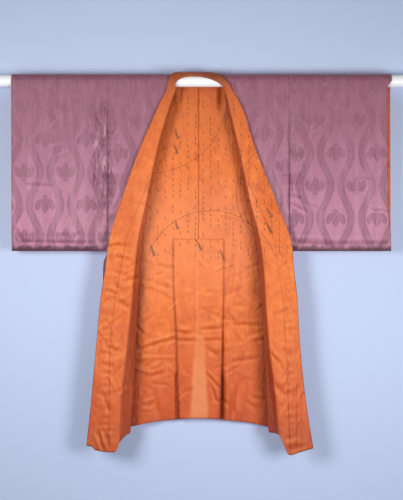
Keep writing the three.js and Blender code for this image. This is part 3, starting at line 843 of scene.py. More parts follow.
def sleeve_surface(side, _cloth):
    """A sleeve, alike for both cloths: from its bottom seam on the back, over the rod, to its bottom
    seam in front."""
    u = np.linspace(0, 1, SLEEVE_COLUMNS)[None, :] ** SLEEVE_COLUMN_POWER
    drop = drop_at(SLEEVE_FOOT) * np.linspace(-1, 1, SLEEVE_ROWS)[:, None]
    z = np.minimum(0, QUARTER_TURN - np.abs(drop))
    parting = HALF_GAP + ARMHOLE_PARTING * closed_at(z)
    inner = BODY_CENTRE + side["out"] * (BODY_HALF_WIDTH + parting)
    front = np.where(drop > 0, 1.0, 0.0)
    below_rod = smoothstep(-z, -1 * MM, CUFF_EASE_TOP)
    setback = side["cuff_setback"] * front * below_rod * smoothstep(z - SLEEVE_FOOT, 0, CUFF_EASE_FOOT)
    x = mix(inner, side["out"] * (abs(SLEEVE_REACH) - setback), u)
    hung = hang(x, drop + 0 * u, 0, sleeve_half_depth)
    foot = puckers(z + 0 * u - SLEEVE_FOOT, x) * SLEEVE_FOOT_SHARE
    in_front = creased(hung, FRONT_CREASES, *ARMHOLE_CREASES, *SLEEVE_CREASES)
    points = mix(creased(hung, NO_CREASES), in_front, front[..., None])
    behind = relief(hung[..., 0], hung[..., 2], BACK_CREASES) * (1 - front)
    moved = foot - behind
    return points + np.stack([0 * moved, moved, 0 * moved], -1), np.stack([x, drop + 0 * u], -1)


def normals_of(points):
    """Unit normals of a grid: the cross product of its two directions, by central differences."""
    across = np.gradient(points, axis=1)
    down = np.gradient(points, axis=0)
    normal = np.cross(across, down)
    return normal / np.linalg.norm(normal, axis=-1, keepdims=True)


def wall_mesh(name, points, cloth_coords, low, high, flip):
    """A closed wall between two offsets from a grid of points. The grid's points are moved along
    their normals, the two layers are joined by a rim, and the cloth's own coordinates become the
    UV map. flip is 1 where the grid's own normal faces the outer cloth's side, or else -1."""
    rows, columns = points.shape[:2]
    normal = normals_of(points) * flip
    outer = points + normal * high
    inner = points + normal * low
    vertices = np.concatenate([outer.reshape(-1, 3), inner.reshape(-1, 3)])
    ids = np.arange(rows * columns).reshape(rows, columns)
    a, b = ids[:-1, :-1].ravel(), ids[:-1, 1:].ravel()
    c, d = ids[1:, 1:].ravel(), ids[1:, :-1].ravel()
    step = rows * columns
    top = np.stack([a, b, c, d], -1)
    bottom = np.stack([d, c, b, a], -1) + step
    ring = np.concatenate([ids[0, :-1], ids[:-1, -1], ids[-1, :0:-1], ids[:0:-1, 0]])
    following = np.roll(ring, -1)
    rim = np.stack([following, ring, ring + step, following + step], -1)
    faces = np.concatenate([top, bottom, rim])
    if flip < 0:
        faces = faces[:, ::-1]
    mesh = bpy.data.meshes.new(name)
    mesh.vertices.add(len(vertices))
    mesh.vertices.foreach_set("co", vertices.astype(np.float32).ravel())
    mesh.loops.add(faces.size)
    mesh.loops.foreach_set("vertex_index", faces.astype(np.int32).ravel())
    mesh.polygons.add(len(faces))
    mesh.polygons.foreach_set("loop_start", np.arange(0, faces.size, 4, dtype=np.int32))
    mesh.polygons.foreach_set("loop_total", np.full(len(faces), 4, np.int32))
    smooth = np.ones(len(faces), bool)
    smooth[-len(rim):] = False
    mesh.update(calc_edges=True)
    mesh.polygons.foreach_set("use_smooth", smooth)
    uv = np.concatenate([cloth_coords.reshape(-1, 2)] * 2)[faces.ravel()]
    mesh.uv_layers.new(name="cloth").data.foreach_set("uv", uv.astype(np.float32).ravel())
    mesh.validate()
    return mesh


def cloth_area(points):
    """The area of a grid: half the cross products of each cell's diagonals."""
    first = points[1:, 1:] - points[:-1, :-1]
    second = points[1:, :-1] - points[:-1, 1:]
    return float(np.linalg.norm(np.cross(first, second), axis=-1).sum() / 2)


def crease_light(points):
    """Light that creases catch, from -1 to 1: the slope of the cloth from one row to the next, more
    where it faces upwards. It fades out near the rod, where the cloth bends over."""
    step = np.gradient(points, axis=0)
    level = np.abs(step[..., 2]) < LEVEL_STEP
    slope = step[..., 1] / np.where(level, np.inf, step[..., 2])
    return np.clip(slope / FULL_SLOPE, -1, 1) * smoothstep(-points[..., 2], 40 * MM, 130 * MM)


def shade_of(points, cloth):
    """The painted shade of a panel's points: in the folds for the lining, and for the outer silk bands
    at each sleeve's foot, along the armhole seams and on top. Less than 0 is painted light on a crease."""
    x, z = points[..., 0], points[..., 2]
    light = LIGHT_SHARE * crease_light(points)
    if cloth is LINING:
        return fold_shade(x, z) - light
    beyond = np.abs(x - BODY_CENTRE) - BODY_HALF_WIDTH
    ragged = 3 * MM * np.cos(x * 90) + 2 * MM * np.cos(x * 210 + 1)
    foot = smoothstep(SLEEVE_FOOT + FOOT_SHADE_BAND + ragged - z, 0, FOOT_SHADE_EDGE)
    foot = foot * smoothstep(beyond, -2 * MM, 2 * MM)
    seam = np.exp(-((beyond / SEAM_SHADE_BAND) ** 2)) * smoothstep(-z, 60 * MM, 260 * MM)
    top = TOP_SHADE_STRENGTH * smoothstep(z, -20 * MM, 10 * MM)
    return np.maximum(np.maximum(foot, SEAM_SHADE_STRENGTH * seam), top) - light


def add_panel(name, cloth, surface, flip, flat, origin=(0, 0)):
    """Makes one cloth of a panel from its grid, and states its body, slot and node. origin is
    where the figure's first axis and swelling lie on the cloth."""
    points, coords = surface
    node = f"{name}_{cloth['name']}"
    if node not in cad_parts:
        raise RuntimeError(f"the frame has no {node}")
    piece_name = node + "_cloth"
    mesh = wall_mesh(piece_name, points, coords - np.array(origin), cloth["low"], cloth["high"], flip)
    piece = bpy.data.objects.new(piece_name, mesh)
    bpy.context.scene.collection.objects.link(piece)
    mesh.materials.append(finish(cloth["slot"]))
    both = np.concatenate([shade_of(points, cloth).ravel()] * 2)
    mesh.attributes.new("shade", "FLOAT", "POINT").data.foreach_set("value", both.astype(np.float32))
    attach(piece, "root")
    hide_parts(node)
    area = min(cloth_area(points), flat[0] * flat[1])
    return piece


class Field:
    """A number that changes over a surface, with the arithmetic of Math nodes."""

    def __init__(self, tree, socket):
        self.tree = tree
        self.socket = socket

    def _math(self, operation, *others):
        node = self.tree.nodes.new("ShaderNodeMath")
        node.operation = operation
        for place, value in zip(node.inputs, (self, *others)):
            if isinstance(value, Field):
                self.tree.links.new(value.socket, place)
            else:
                place.default_value = value
        return Field(self.tree, node.outputs[0])

    def __add__(self, other):
        return self._math("ADD", other)

    def __sub__(self, other):
        return self._math("SUBTRACT", other)

    def __mul__(self, other):
        return self._math("MULTIPLY", other)

    def __truediv__(self, other):
        return self._math("DIVIDE", other)

    def __abs__(self):
        return self._math("ABSOLUTE")

    def floor(self):
        return self._math("FLOOR")

    def cosine(self):
        return self._math("COSINE")

    def sine(self):
        return self._math("SINE")

    def lowest(self, other):
        return self._math("MINIMUM", other)

    def highest(self, other):
        return self._math("MAXIMUM", other)

    def root(self):
        return self._math("SQRT")

    def step(self, low, high, to_low=0.0, to_high=1.0):
        """A smooth step from to_low where the number is low to to_high where it is high."""
        node = self.tree.nodes.new("ShaderNodeMapRange")
        node.interpolation_type = "SMOOTHSTEP"
        self.tree.links.new(self.socket, node.inputs["Value"])
        ends = {"From Min": low, "From Max": high, "To Min": to_low, "To Max": to_high}
        for place, value in ends.items():
            node.inputs[place].default_value = value
        return Field(self.tree, node.outputs["Result"])

    def into(self, place):
        self.tree.links.new(self.socket, place)


def split_vector(tree, socket):
    """The first two or three parts of a vector as fields."""
    split = tree.nodes.new("ShaderNodeSeparateXYZ")
    tree.links.new(socket, split.inputs[0])
    return [Field(tree, part) for part in split.outputs]


def cloth_coordinates(tree):
    """The cloth's own coordinates, in metres."""
    node = tree.nodes.new("ShaderNodeUVMap")
    node.uv_map = "cloth"
    return node.outputs["UV"]


def shade_attribute(tree):
    """The shade that each panel carries."""
    node = tree.nodes.new("ShaderNodeAttribute")
    node.attribute_name = "shade"
    return Field(tree, node.outputs["Fac"])


def object_coordinates(tree):
    """Places in the object's own frame."""
    return tree.nodes.new("ShaderNodeTexCoord").outputs["Object"]


def noise(tree, coordinates, scale, detail=2.0, stretch=(1, 1, 1), roughness=0.5):
    """Noise of 0 to 1 on coordinates that are stretched along their axes."""
    mapping = tree.nodes.new("ShaderNodeMapping")
    mapping.inputs["Scale"].default_value = stretch
    texture = tree.nodes.new("ShaderNodeTexNoise")
    texture.inputs["Scale"].default_value = scale
    texture.inputs["Detail"].default_value = detail
    texture.inputs["Roughness"].default_value = roughness
    tree.links.new(coordinates, mapping.inputs["Vector"])
    tree.links.new(mapping.outputs[0], texture.inputs["Vector"])
    return Field(tree, texture.outputs["Fac"])


def mixed_colour(tree, share, low, high):
    """A colour between two, by a field. Each may be a colour or a socket."""
    node = tree.nodes.new("ShaderNodeMix")
    node.data_type = "RGBA"
    node.clamp_factor = True
    share.into(node.inputs["Factor"])
    for place, value in ((node.inputs["A"], low), (node.inputs["B"], high)):
        if isinstance(value, bpy.types.NodeSocket):
            tree.links.new(value, place)
        else:
            place.default_value = (*value[:3], 1)
    return node.outputs["Result"]


def layered(tree, colour, layers):
    """A colour with others laid over it in turn, each with the share that it covers."""
    for share, over in layers:
        colour = mixed_colour(tree, share, colour, over)
    return colour


def bump(tree, height, distance, normal=None):
    """A bumped normal from a height field."""
    node = tree.nodes.new("ShaderNodeBump")
    node.inputs["Distance"].default_value = distance
    height.into(node.inputs["Height"])
    if normal is not None:
        tree.links.new(normal, node.inputs["Normal"])
    return node.outputs["Normal"]


def linear(red, green, blue):
    """A display colour of 0 to 255 as the linear one that shaders take."""
    srgb = np.array([red, green, blue]) / 255
    return tuple(np.where(srgb <= 0.04045, srgb / 12.92, ((srgb + 0.055) / 1.055) ** 2.4))


def new_group(name, inputs, outputs):
    """An empty shader node group with named vector or number inputs and number outputs."""
    tree = bpy.data.node_groups.new(name, "ShaderNodeTree")
    for label, kind in inputs:
        tree.interface.new_socket(label, in_out="INPUT", socket_type=kind)
    for label in outputs:
        tree.interface.new_socket(label, in_out="OUTPUT", socket_type="NodeSocketFloat")
    return tree, tree.nodes.new("NodeGroupInput"), tree.nodes.new("NodeGroupOutput")


def use_group(tree, name, coordinates, **values):
    """Places a group in a tree and returns its outputs by name as fields."""
    node = tree.nodes.new("ShaderNodeGroup")
    node.node_tree = bpy.data.node_groups.get(name) or GROUPS[name]()
    tree.links.new(coordinates, node.inputs["Coordinates"])
    for label, value in values.items():
        node.inputs[label.replace("_", " ")].default_value = value
    return {output.name: Field(tree, output) for output in node.outputs}


def make_silk_weave():
    """A plain weave: the product of two cosines across warp and weft, and slubs, which are noise
    drawn out along each thread."""
    numbers = ("Thread Pitch", "Slub Length")
    inputs = [("Coordinates", "NodeSocketVector")] + [(label, "NodeSocketFloat") for label in numbers]
    tree, start, end = new_group("silk_weave", inputs, ("Height", "Slubs"))
    u, v, _ = split_vector(tree, start.outputs["Coordinates"])
    pitch = Field(tree, start.outputs["Thread Pitch"])
    across = (u / pitch * (2 * math.pi)).cosine()
    along = (v / pitch * (2 * math.pi)).cosine()
    (across * along * 0.5 + 0.5).into(end.inputs["Height"])
    length = Field(tree, start.outputs["Slub Length"])
    joined = tree.nodes.new("ShaderNodeCombineXYZ")
    (u / length).into(joined.inputs[0])
    (v / pitch * 0.3).into(joined.inputs[1])
    weft = noise(tree, joined.outputs[0], 1.0, 1.0)
    joined = tree.nodes.new("ShaderNodeCombineXYZ")
    (u / pitch * 0.3).into(joined.inputs[0])
    (v / length * 0.5).into(joined.inputs[1])
    warp = noise(tree, joined.outputs[0], 1.0, 1.0)
    (weft * 0.5 + warp * 0.5).into(end.inputs["Slubs"])
    return tree


HUNG_WEAR_OUTPUTS = ("Fading", "Rumples", "Crinkles", "Hem Darkening")


def make_hung_wear():
    """Age and folds of hung cloth: broad patches of fading, soft rumples as a height, small upright
    crinkles as drawn-out noise, and a share that rises towards a hem, all on Object coordinates."""
    tree, start, end = new_group("hung_wear", [("Coordinates", "NodeSocketVector")], HUNG_WEAR_OUTPUTS)
    place = start.outputs["Coordinates"]
    broad = noise(tree, place, 5.0, 3.0, (1, 1, 0.6))
    noise(tree, place, 125.0, 3.0, (1, 1, 0.17), 0.68).into(end.inputs["Crinkles"])
    fine = noise(tree, place, 38.0, 3.0, (1, 1, 0.7))
    (broad * 0.7 + fine * 0.3).into(end.inputs["Fading"])
    rumples = noise(tree, place, 34.0, 5.0, (1.3, 1, 0.6), 0.62)
    rumples.into(end.inputs["Rumples"])
    _, _, z = split_vector(tree, place)
    ragged = z + (fine - 0.5) * 0.04
    ragged.step(-1.03, -1.12).into(end.inputs["Hem Darkening"])
    return tree


GROUPS = {"silk_weave": make_silk_weave, "hung_wear": make_hung_wear}


def new_material(name):
    """An empty node material with a Principled shader wired to its output."""
    material = bpy.data.materials.new(name)
    material.use_nodes = True
    return material, material.node_tree, material.node_tree.nodes["Principled BSDF"]


def lobe(a, b, centre, half_width, half_height, lean):
    """A pointed lobe: less than 1 where |a| / width + (b / height)^2 is, with its own lean."""
    down = (b - centre[1]) / half_height
    off = abs(a - centre[0] - (b - centre[1]) * lean)
    return off / half_width + down * down, off


# The figure's bands: how far they sway, half their width, and the paler line inside each
FIGURE_SWAY = 16 * MM
BAND_EDGE = (13.6 * MM, 11.8 * MM)
BAND_LINE_AT = 7.5 * MM


def steam_figure(u, v, pitch, period):
    """The woven figure: bands that rise and sway in antiphase as cosines, and in each swelling
    between them a lobed leaf, upright on one axis and upside down on the next."""
    turn = v * (2 * math.pi / period)
    band_cell = (u / pitch).floor()
    band_odd = (band_cell / 2 - (band_cell / 2).floor()) * 2
    across = u - (band_cell + 0.5) * pitch
    distance = abs(across - turn.cosine() * (band_odd * -2 + 1) * FIGURE_SWAY)
    band = distance.step(*BAND_EDGE)
    inner = abs(distance - BAND_LINE_AT).step(0.4 * MM, 2.0 * MM)
    band = band * (inner * -0.22 + 1)

    axis = (u / pitch + 0.5).floor()
    odd = (axis / 2 - (axis / 2).floor()) * 2
    a = u - axis * pitch
    share = v / period - odd * 0.5 + 0.5
    b = (share - share.floor() - 0.5) * (odd * 2 - 1) * period
    middle, middle_off = lobe(a, b, (0, 7 * MM), 12 * MM, 23 * MM, 0)
    left, left_off = lobe(a, b, (-20 * MM, 0), 12 * MM, 20 * MM, -0.32)
    right, right_off = lobe(a, b, (20 * MM, 0), 12 * MM, 20 * MM, 0.32)
    base, _ = lobe(a, b, (0, -11 * MM), 27 * MM, 8 * MM, 0)
    foot, _ = lobe(a, b, (0, -24 * MM), 9 * MM, 7 * MM, 0)
    leaf = middle.lowest(left).lowest(right).lowest(base).lowest(foot).step(1.08, 0.86)
    vein = middle_off.lowest(left_off).lowest(right_off).step(0.6 * MM, 1.8 * MM, 0.6, 1)
    seam = abs(middle - left.lowest(right)).step(0.05, 0.3, 0.55, 1)
    return band.highest(leaf * vein * seam)


# Tones of age, thread and stains, and of painted shade, sheen and light, on both silks
FADED_SILK = linear(176, 122, 138)
SILK_SLUB = linear(112, 66, 86)
SILK_SHINE = linear(206, 152, 172)
UPPER_SILK_IN_SHADE = linear(128, 72, 92)
CRINKLE_IN_SHADE = linear(92, 48, 64)
CRINKLE_IN_LIGHT = linear(222, 176, 192)
SILK_IN_SHADE = linear(84, 44, 58)
SILK_IN_LIGHT = linear(226, 178, 196)
LINING_SLUB = linear(170, 70, 36)
LINING_LESS_SHEEN = linear(170, 58, 20)
LINING_SHINE = linear(255, 150, 76)
PALE_MIDDLE = linear(248, 156, 108)
LOWER_LINING = linear(186, 60, 18)
BACKLIT_STRIPE = linear(226, 138, 84)
UPPER_LINING_IN_SHADE = linear(178, 84, 36)
NECK_STAIN = linear(96, 58, 34)
DARKER_HEM = linear(150, 66, 40)
STITCHED_LINE = linear(120, 44, 26)
LINING_IN_SHADE = linear(132, 42, 16)
LINING_IN_LIGHT = linear(255, 176, 104)


# Distance of the crinkled stretch beside an armhole from the middle
CRINKLED_AT = 0.314


def make_figured_silk():
    """Twilled plum silk whose woven figure is a little darker and smoother than its ground."""
    settings = bpy.context.scene.coat
    material, tree, shader = new_material("figured_silk")
    cloth = cloth_coordinates(tree)
    u, v, _ = split_vector(tree, cloth)
    figure = steam_figure(u, v, settings.figure_pitch, settings.figure_period)
    place = object_coordinates(tree)
    wear = use_group(tree, "hung_wear", place)
    weave = use_group(tree, "silk_weave", cloth, Thread_Pitch=0.7 * MM, Slub_Length=14 * MM)
    x, _, z = split_vector(tree, place)
    seam = abs(abs(x) - CRINKLED_AT).step(0.070, 0.008) * z.step(-0.01, -0.10) * z.step(-0.48, -0.38)
    seam = seam * x.step(0.1, -0.1, 0.5, 1.0)
    crinkles = (wear["Crinkles"] - 0.5) * seam
    contrast = wear["Fading"].step(0.3, 0.72, 0.75, 1.25) * z.step(-0.26, -0.03, 1.0, 0.55)
    tone = mixed_colour(tree, figure * contrast, settings.figure_ground, settings.figure_colour)
    # Painted sheen: lighter streaks drawn out down the hanging silk
    sheen_streaks = noise(tree, place, 46.0, 3.0, (1, 1, 0.05), 0.6)
    layers = (
        (wear["Fading"].step(0.35, 0.7, 0.0, 0.35), FADED_SILK),
        (weave["Slubs"].step(0.3, 0.75, 0.28, 0.0), SILK_SLUB),
        # Painted sheen in long upright streaks
        (sheen_streaks.step(0.42, 0.68, 0.0, 0.3), SILK_SHINE),
        # Painted shade on the upper part, where less light falls
        (z.step(-0.50, -0.02, 0.0, 0.66), UPPER_SILK_IN_SHADE),
        # Painted shade in the troughs of the crinkles beside the armholes, and painted light on their
        # ridges
        (crinkles.step(-0.03, -0.14, 0.0, 0.55), CRINKLE_IN_SHADE),
        (crinkles.step(0.05, 0.16, 0.0, 0.5), CRINKLE_IN_LIGHT),
        (shade_attribute(tree) * 0.8, SILK_IN_SHADE),
        (shade_attribute(tree) * -0.7, SILK_IN_LIGHT),
    )
    tree.links.new(layered(tree, tone, layers), shader.inputs["Base Color"])
    (figure * -0.08 + 0.44 + weave["Slubs"] * 0.1).into(shader.inputs["Roughness"])
    shader.inputs["Sheen Weight"].default_value = 0.12
    shader.inputs["Sheen Roughness"].default_value = 0.45
    shader.inputs["Specular IOR Level"].default_value = 0.38
    normal = bump(tree, wear["Rumples"] + crinkles * 1.4, 6.5 * MM)
    normal = bump(tree, figure, 0.15 * MM, normal)
    tree.links.new(bump(tree, weave["Height"], 0.06 * MM, normal), shader.inputs["Normal"])
    return material


def scattered_sprigs(tree, x, z, cell, presence, seed):
    """Small sprigs in a grid whose columns are staggered. In each cell white noise settles whether
    a sprig stands there and its turn. A sprig is a bent stem with slanted blades that shorten
    towards its tip."""
    wide, high = cell
    column = (x / wide + seed).floor()
    z = z + (column * 2.4 + seed).sine() * high
    row = (z / high).floor()
    joined = tree.nodes.new("ShaderNodeCombineXYZ")
    column.into(joined.inputs[0])
    row.into(joined.inputs[1])
    joined.inputs[2].default_value = seed
    chance = tree.nodes.new("ShaderNodeTexWhiteNoise")
    tree.links.new(joined.outputs[0], chance.inputs["Vector"])
    there = Field(tree, chance.outputs["Value"]).step(presence, presence + 0.01, 1.0, 0.0)
    split = tree.nodes.new("ShaderNodeSeparateColor")
    tree.links.new(chance.outputs["Color"], split.inputs[0])
    turn, bend, length = (Field(tree, part) for part in split.outputs)
    angle = turn * 1.1 - 0.55
    a, b = (x / wide + seed - column - 0.5) * (wide / high), z / high - row - 0.5
    across = a * angle.cosine() - b * angle.sine()
    along = a * angle.sine() + b * angle.cosine()
    tall = length * 0.25 + 0.62
    t = along / tall + 0.5
    off = across - (bend - 0.5) * t * t * 0.35
    inside = t.step(0.0, 0.04) * t.step(1.0, 0.96)
    stem = abs(off).step(0.022, 0.012)
    reach = (t * -0.7 + 0.95) * 0.2
    slanted = (t - abs(off) * 1.1) * 5
    blade = abs(slanted - slanted.floor() - 0.5)
    share = abs(off) / reach
    blades = (blade + share * 0.34).step(0.42, 0.34) * share.step(1.02, 0.94)
    return stem.highest(blades) * inside * there


# The drawing's sprigs, small and large: the cell each stands in, how many cells have one, and seed
SMALL_SPRIGS = ((24 * MM, 17 * MM), 0.52, 3.3)
LARGE_SPRIGS = ((74 * MM, 48 * MM), 0.28, 7.6)

# The drawing's arcs: x and z of the centre, radius
INK_ARCS = ((0.03, -0.62, 0.21), (-0.16, -0.05, 0.24), (0.28, -0.36, 0.17))


def ink_marks(tree, x, z):
    """Old ink drawing on the upper lining: two sizes of sprigs and a few wide thin arcs."""
    small = scattered_sprigs(tree, x, z, *SMALL_SPRIGS)
    large = scattered_sprigs(tree, x, z, *LARGE_SPRIGS)
    marks = small.highest(large)
    for centre_x, centre_z, radius in INK_ARCS:
        off_x, off_z = x - centre_x, z - centre_z
        ring = abs((off_x * off_x + off_z * off_z).root() - radius)
        marks = marks.highest(ring.step(1.1 * MM, 0.4 * MM, 0.0, 0.8))
    left_limit = (x - z * 0.42).step(-0.035, -0.02) * x.step(-0.175, -0.165)
    upper = z.step(-0.585, -0.545) * z.step(-0.04, -0.055)
    return marks * left_limit * upper * x.step(0.275, 0.262)


# Stitched lines of the lining: x at the top, lean, heights of both ends, strength
SEAM_LINES = (
    (-0.288, 0, -0.780, -1.19, 0.14),
    (0.272, -0.012, -0.880, -1.19, 0.34),
    (0.300, 0, -1.020, -1.17, 0.35),
    (-0.0095, 0, -0.020, -0.50, 0.3),
    (-0.0895, 0, -0.495, -0.52, 0.4),
)


def seam_lines(x, z):
    """Thin stitched lines: each is where the distance from a nearly upright line is small, between
    its top and its foot."""
    marks = None
    for at, lean, top, foot, strength in SEAM_LINES:
        distance = abs(x - at - (z - top) * lean)
        line = distance.step(2.0 * MM, 0.7 * MM) * z.step(top + 6 * MM, top - 6 * MM)
        line = line * z.step(foot, foot + 4 * MM) * strength
        marks = line if marks is None else marks.highest(line)
    return marks


def make_lining_silk():
    """Plain orange silk: slubs, fading, painted sheen, darker towards the hem, painted light in a paler
    stripe down the vent panel, painted shade on its upper part and in the folds, painted light on
    creases, and a generic ink drawing on its upper part."""
    settings = bpy.context.scene.coat
    material, tree, shader = new_material("lining_silk")
    cloth = cloth_coordinates(tree)
    place = object_coordinates(tree)
    x, _, z = split_vector(tree, place)
    wear = use_group(tree, "hung_wear", place)
    weave = use_group(tree, "silk_weave", cloth, Thread_Pitch=0.8 * MM, Slub_Length=22 * MM)
    tone = mixed_colour(tree, wear["Fading"].step(0.3, 0.72), settings.lining_dark, settings.lining_light)
    sheen = noise(tree, place, 42.0, 5.0, (1, 1, 0.55), 0.6)
    paler = z.step(-0.25, -0.42) * z.step(-0.78, -0.55) * x.step(-0.22, -0.18) * x.step(0.2, 0.15)
    # Painted light: a paler stripe down the vent panel, where light comes through its single cloth over the
    # open seam behind; its edges wander with noise
    stripe_wobble = (wear["Fading"] - 0.5) * 26 * MM
    stripe = (abs(x + 7 * MM + stripe_wobble) / (z * -0.055 - 0.030)).step(1.25, 0.7)
    stripe = stripe * z.step(-0.64, -1.0, 0.0, 0.85) * wear["Fading"].step(0.3, 0.6, 0.7, 1.0)
    thread = abs(x + 14 * MM).step(3.0 * MM, 1.2 * MM) * z.step(-0.50, -0.56) * z.step(-1.08, -1.0)
    stain = z.step(-0.035, 0.012) * wear["Fading"].step(0.38, 0.62, 0.25, 0.75)
    layers = (
        (weave["Slubs"].step(0.3, 0.75, 0.3, 0.0), LINING_SLUB),
        # Painted sheen: mottled patches of less and more sheen
        (sheen.step(0.5, 0.25, 0.0, 0.5), LINING_LESS_SHEEN),
        (sheen.step(0.5, 0.8, 0.0, 0.34), LINING_SHINE),
        (paler * 0.24, PALE_MIDDLE),
        (z.step(-0.72, -1.06, 0.0, 0.55), LOWER_LINING),
        # Painted light in the paler stripe down the vent panel, with a thin pale line in it
        (stripe.highest(thread * 0.5), BACKLIT_STRIPE),
        # Painted shade on the upper part, where less light falls
        (z.step(-0.28, -0.02, 0.0, 0.42), UPPER_LINING_IN_SHADE),
        (stain, NECK_STAIN),
        # A darker tone towards the hem
        (wear["Hem Darkening"] * 0.25, DARKER_HEM),
        (seam_lines(x, z), STITCHED_LINE),
        (shade_attribute(tree) * 0.85, LINING_IN_SHADE),
        (shade_attribute(tree) * -0.7, LINING_IN_LIGHT),
        (ink_marks(tree, x, z) * 0.85, settings.ink),
    )
    tree.links.new(layered(tree, tone, layers), shader.inputs["Base Color"])
    (weave["Slubs"] * 0.14 + 0.42).into(shader.inputs["Roughness"])
    shader.inputs["Sheen Weight"].default_value = 0.08
    shader.inputs["Sheen Roughness"].default_value = 0.4
    shader.inputs["Specular IOR Level"].default_value = 0.38
    normal = bump(tree, wear["Rumples"], 8.0 * MM)
    tree.links.new(bump(tree, weave["Height"], 0.06 * MM, normal), shader.inputs["Normal"])
    return material


def make_white_rod():
    """White paint on wood: faint long brush strokes and small uneven places."""
    material, tree, shader = new_material("white_rod")
    place = object_coordinates(tree)
    strokes = noise(tree, place, 60.0, 3.0, (0.05, 1, 1))
    spots = noise(tree, place, 45.0, 2.0)
    paint = bpy.context.scene.coat.rod_paint
    colour = mixed_colour(tree, strokes.step(0.35, 0.75, 0.0, 0.3), paint, linear(222, 224, 228))
    tree.links.new(colour, shader.inputs["Base Color"])
    (spots * 0.2 + 0.3).into(shader.inputs["Roughness"])
    tree.links.new(bump(tree, strokes, 0.15 * MM), shader.inputs["Normal"])
    return material


def make_backdrop_paper():
    """A plain pale sheet that is seen from its front only and lets light through, so that it neither
    hides nor darkens anything from behind."""
    material, tree, shader = new_material("backdrop_paper")
    tone = noise(tree, object_coordinates(tree), 0.9, 1.0)
    paper = bpy.context.scene.coat_stage.backdrop
    colour = mixed_colour(tree, tone.step(0.3, 0.7, 0.0, 0.04), paper, linear(176, 190, 214))
    tree.links.new(colour, shader.inputs["Base Color"])
    shader.inputs["Roughness"].default_value = 0.95
    shader.inputs["Specular IOR Level"].default_value = 0.1
    side = tree.nodes.new("ShaderNodeNewGeometry")
    clear = tree.nodes.new("ShaderNodeBsdfTransparent")
    rays = tree.nodes.new("ShaderNodeLightPath")
    either = tree.nodes.new("ShaderNodeMixShader")
    behind = Field(tree, side.outputs["Backfacing"])
    behind.highest(Field(tree, rays.outputs["Is Shadow Ray"])).into(either.inputs[0])
    tree.links.new(shader.outputs[0], either.inputs[1])
    tree.links.new(clear.outputs[0], either.inputs[2])
    tree.links.new(either.outputs[0], tree.nodes["Material Output"].inputs["Surface"])
    return material


FINISHES = {
    "figured_silk": make_figured_silk,
    "lining_silk": make_lining_silk,
    "white_rod": make_white_rod,
    "backdrop_paper": make_backdrop_paper,
}
made = {}


def finish(name):
    """The named material, made the first time that it is asked for."""
    if name not in made:
        made[name] = FINISHES[name]()
    return made[name]


def add_both_cloths(name, surface, flip, flat, origin=(0, 0)):
    """Both cloths of a panel. surface gives the grid for a cloth."""
    for cloth in CLOTHS:
        add_panel(name, cloth, surface(cloth), flip, flat, origin)


def add_on_both_sides(kind, surface, turn, origins):
    """A panel of each half of the coat, in both cloths. turn is 1 or -1, as the grid runs."""
    for side in SIDES:
        add_both_cloths(
            f"{kind}_{side['name']}",
            lambda cloth: surface(side, cloth),
            turn * side["out"],
            FLAT[kind],
            origins[side["name"]],
        )


def length_property(name, description, default):
    """A length in metres that a user can change."""
    return bpy.props.FloatProperty(
        name=name, description=description, default=default, min=0, subtype="DISTANCE", unit="LENGTH"
    )


def colour_property(name, description, red, green, blue):
    """A colour that a user can change, given as a display colour of 0 to 255."""
    shown = linear(red, green, blue)
    return bpy.props.FloatVectorProperty(
        name=name, description=description, default=shown, size=3, min=0, max=1, subtype="COLOR"
    )


class CoatSettings(bpy.types.PropertyGroup):
    """Sizes and colours of the coat."""

    figure_pitch: length_property("Figure pitch", "Distance between the figure's axes", 65 * MM)
    figure_period: length_property("Figure period", "Height of one swelling and waist", 207 * MM)
    figure_ground: colour_property("Silk ground", "Ground of the figured silk", 190, 125, 149)
    figure_colour: colour_property("Silk figure", "Figure of the figured silk", 140, 84, 106)
    lining_light: colour_property("Lining, light", "Lighter tone of the lining", 238, 122, 40)
    lining_dark: colour_property("Lining, dark", "Darker tone of the lining", 216, 100, 30)
    ink: colour_property("Ink", "Ink of the drawing on the lining", 66, 40, 30)
    rod_paint: colour_property("Rod paint", "Paint of the display rod", 246, 247, 250)


class CoatStageSettings(bpy.types.PropertyGroup):
    """Light, backdrop and camera."""

    backdrop: colour_property("Backdrop", "Colour of the sheet behind the coat", 188, 202, 230)
    floor: colour_property("Floor", "Colour of the floor", 205, 212, 224)
    backdrop_distance: length_property("Backdrop distance", "From the rod's axis to the sheet", 0.044)
    camera_distance: length_property("Camera distance", "From the rod's plane to the camera", 5.2)
    view_height: length_property("View height", "Height that the camera sees at the rod's plane", 1.583)
    light_power: bpy.props.FloatProperty(
        name="Light power",
        description="Power of a softbox whose share is 1",
        default=11.0,
        min=0,
        unit="POWER",
    )


class COAT_OT_rod(bpy.types.Operator):
    """Gives the display rod its paint"""

    bl_idname = "coat.rod"
    bl_label = "Display rod"

    def execute(self, context):
        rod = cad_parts["rod"]
        rod.data.materials.clear()
        rod.data.materials.append(finish("white_rod"))
        return {"FINISHED"}


class COAT_OT_fronts(bpy.types.Operator):
    """Builds both fronts with their turned-out folds"""

    bl_idname = "coat.fronts"
    bl_label = "Fronts"

    def execute(self, context):
        half = context.scene.coat.figure_period / 2
        pitch = context.scene.coat.figure_pitch
        origins = {"left": (199 * MM, 159 * MM), "right": (198 * MM - pitch, 200 * MM - half)}
        add_on_both_sides("front", front_surface, -1, origins)
        return {"FINISHED"}


class COAT_OT_collar(bpy.types.Operator):
    """Builds the collar band round the neck and down both fronts"""

    bl_idname = "coat.collar"
    bl_label = "Collar"

    def execute(self, context):
        add_both_cloths("collar", collar_surface, -1, FLAT["collar"])
        return {"FINISHED"}


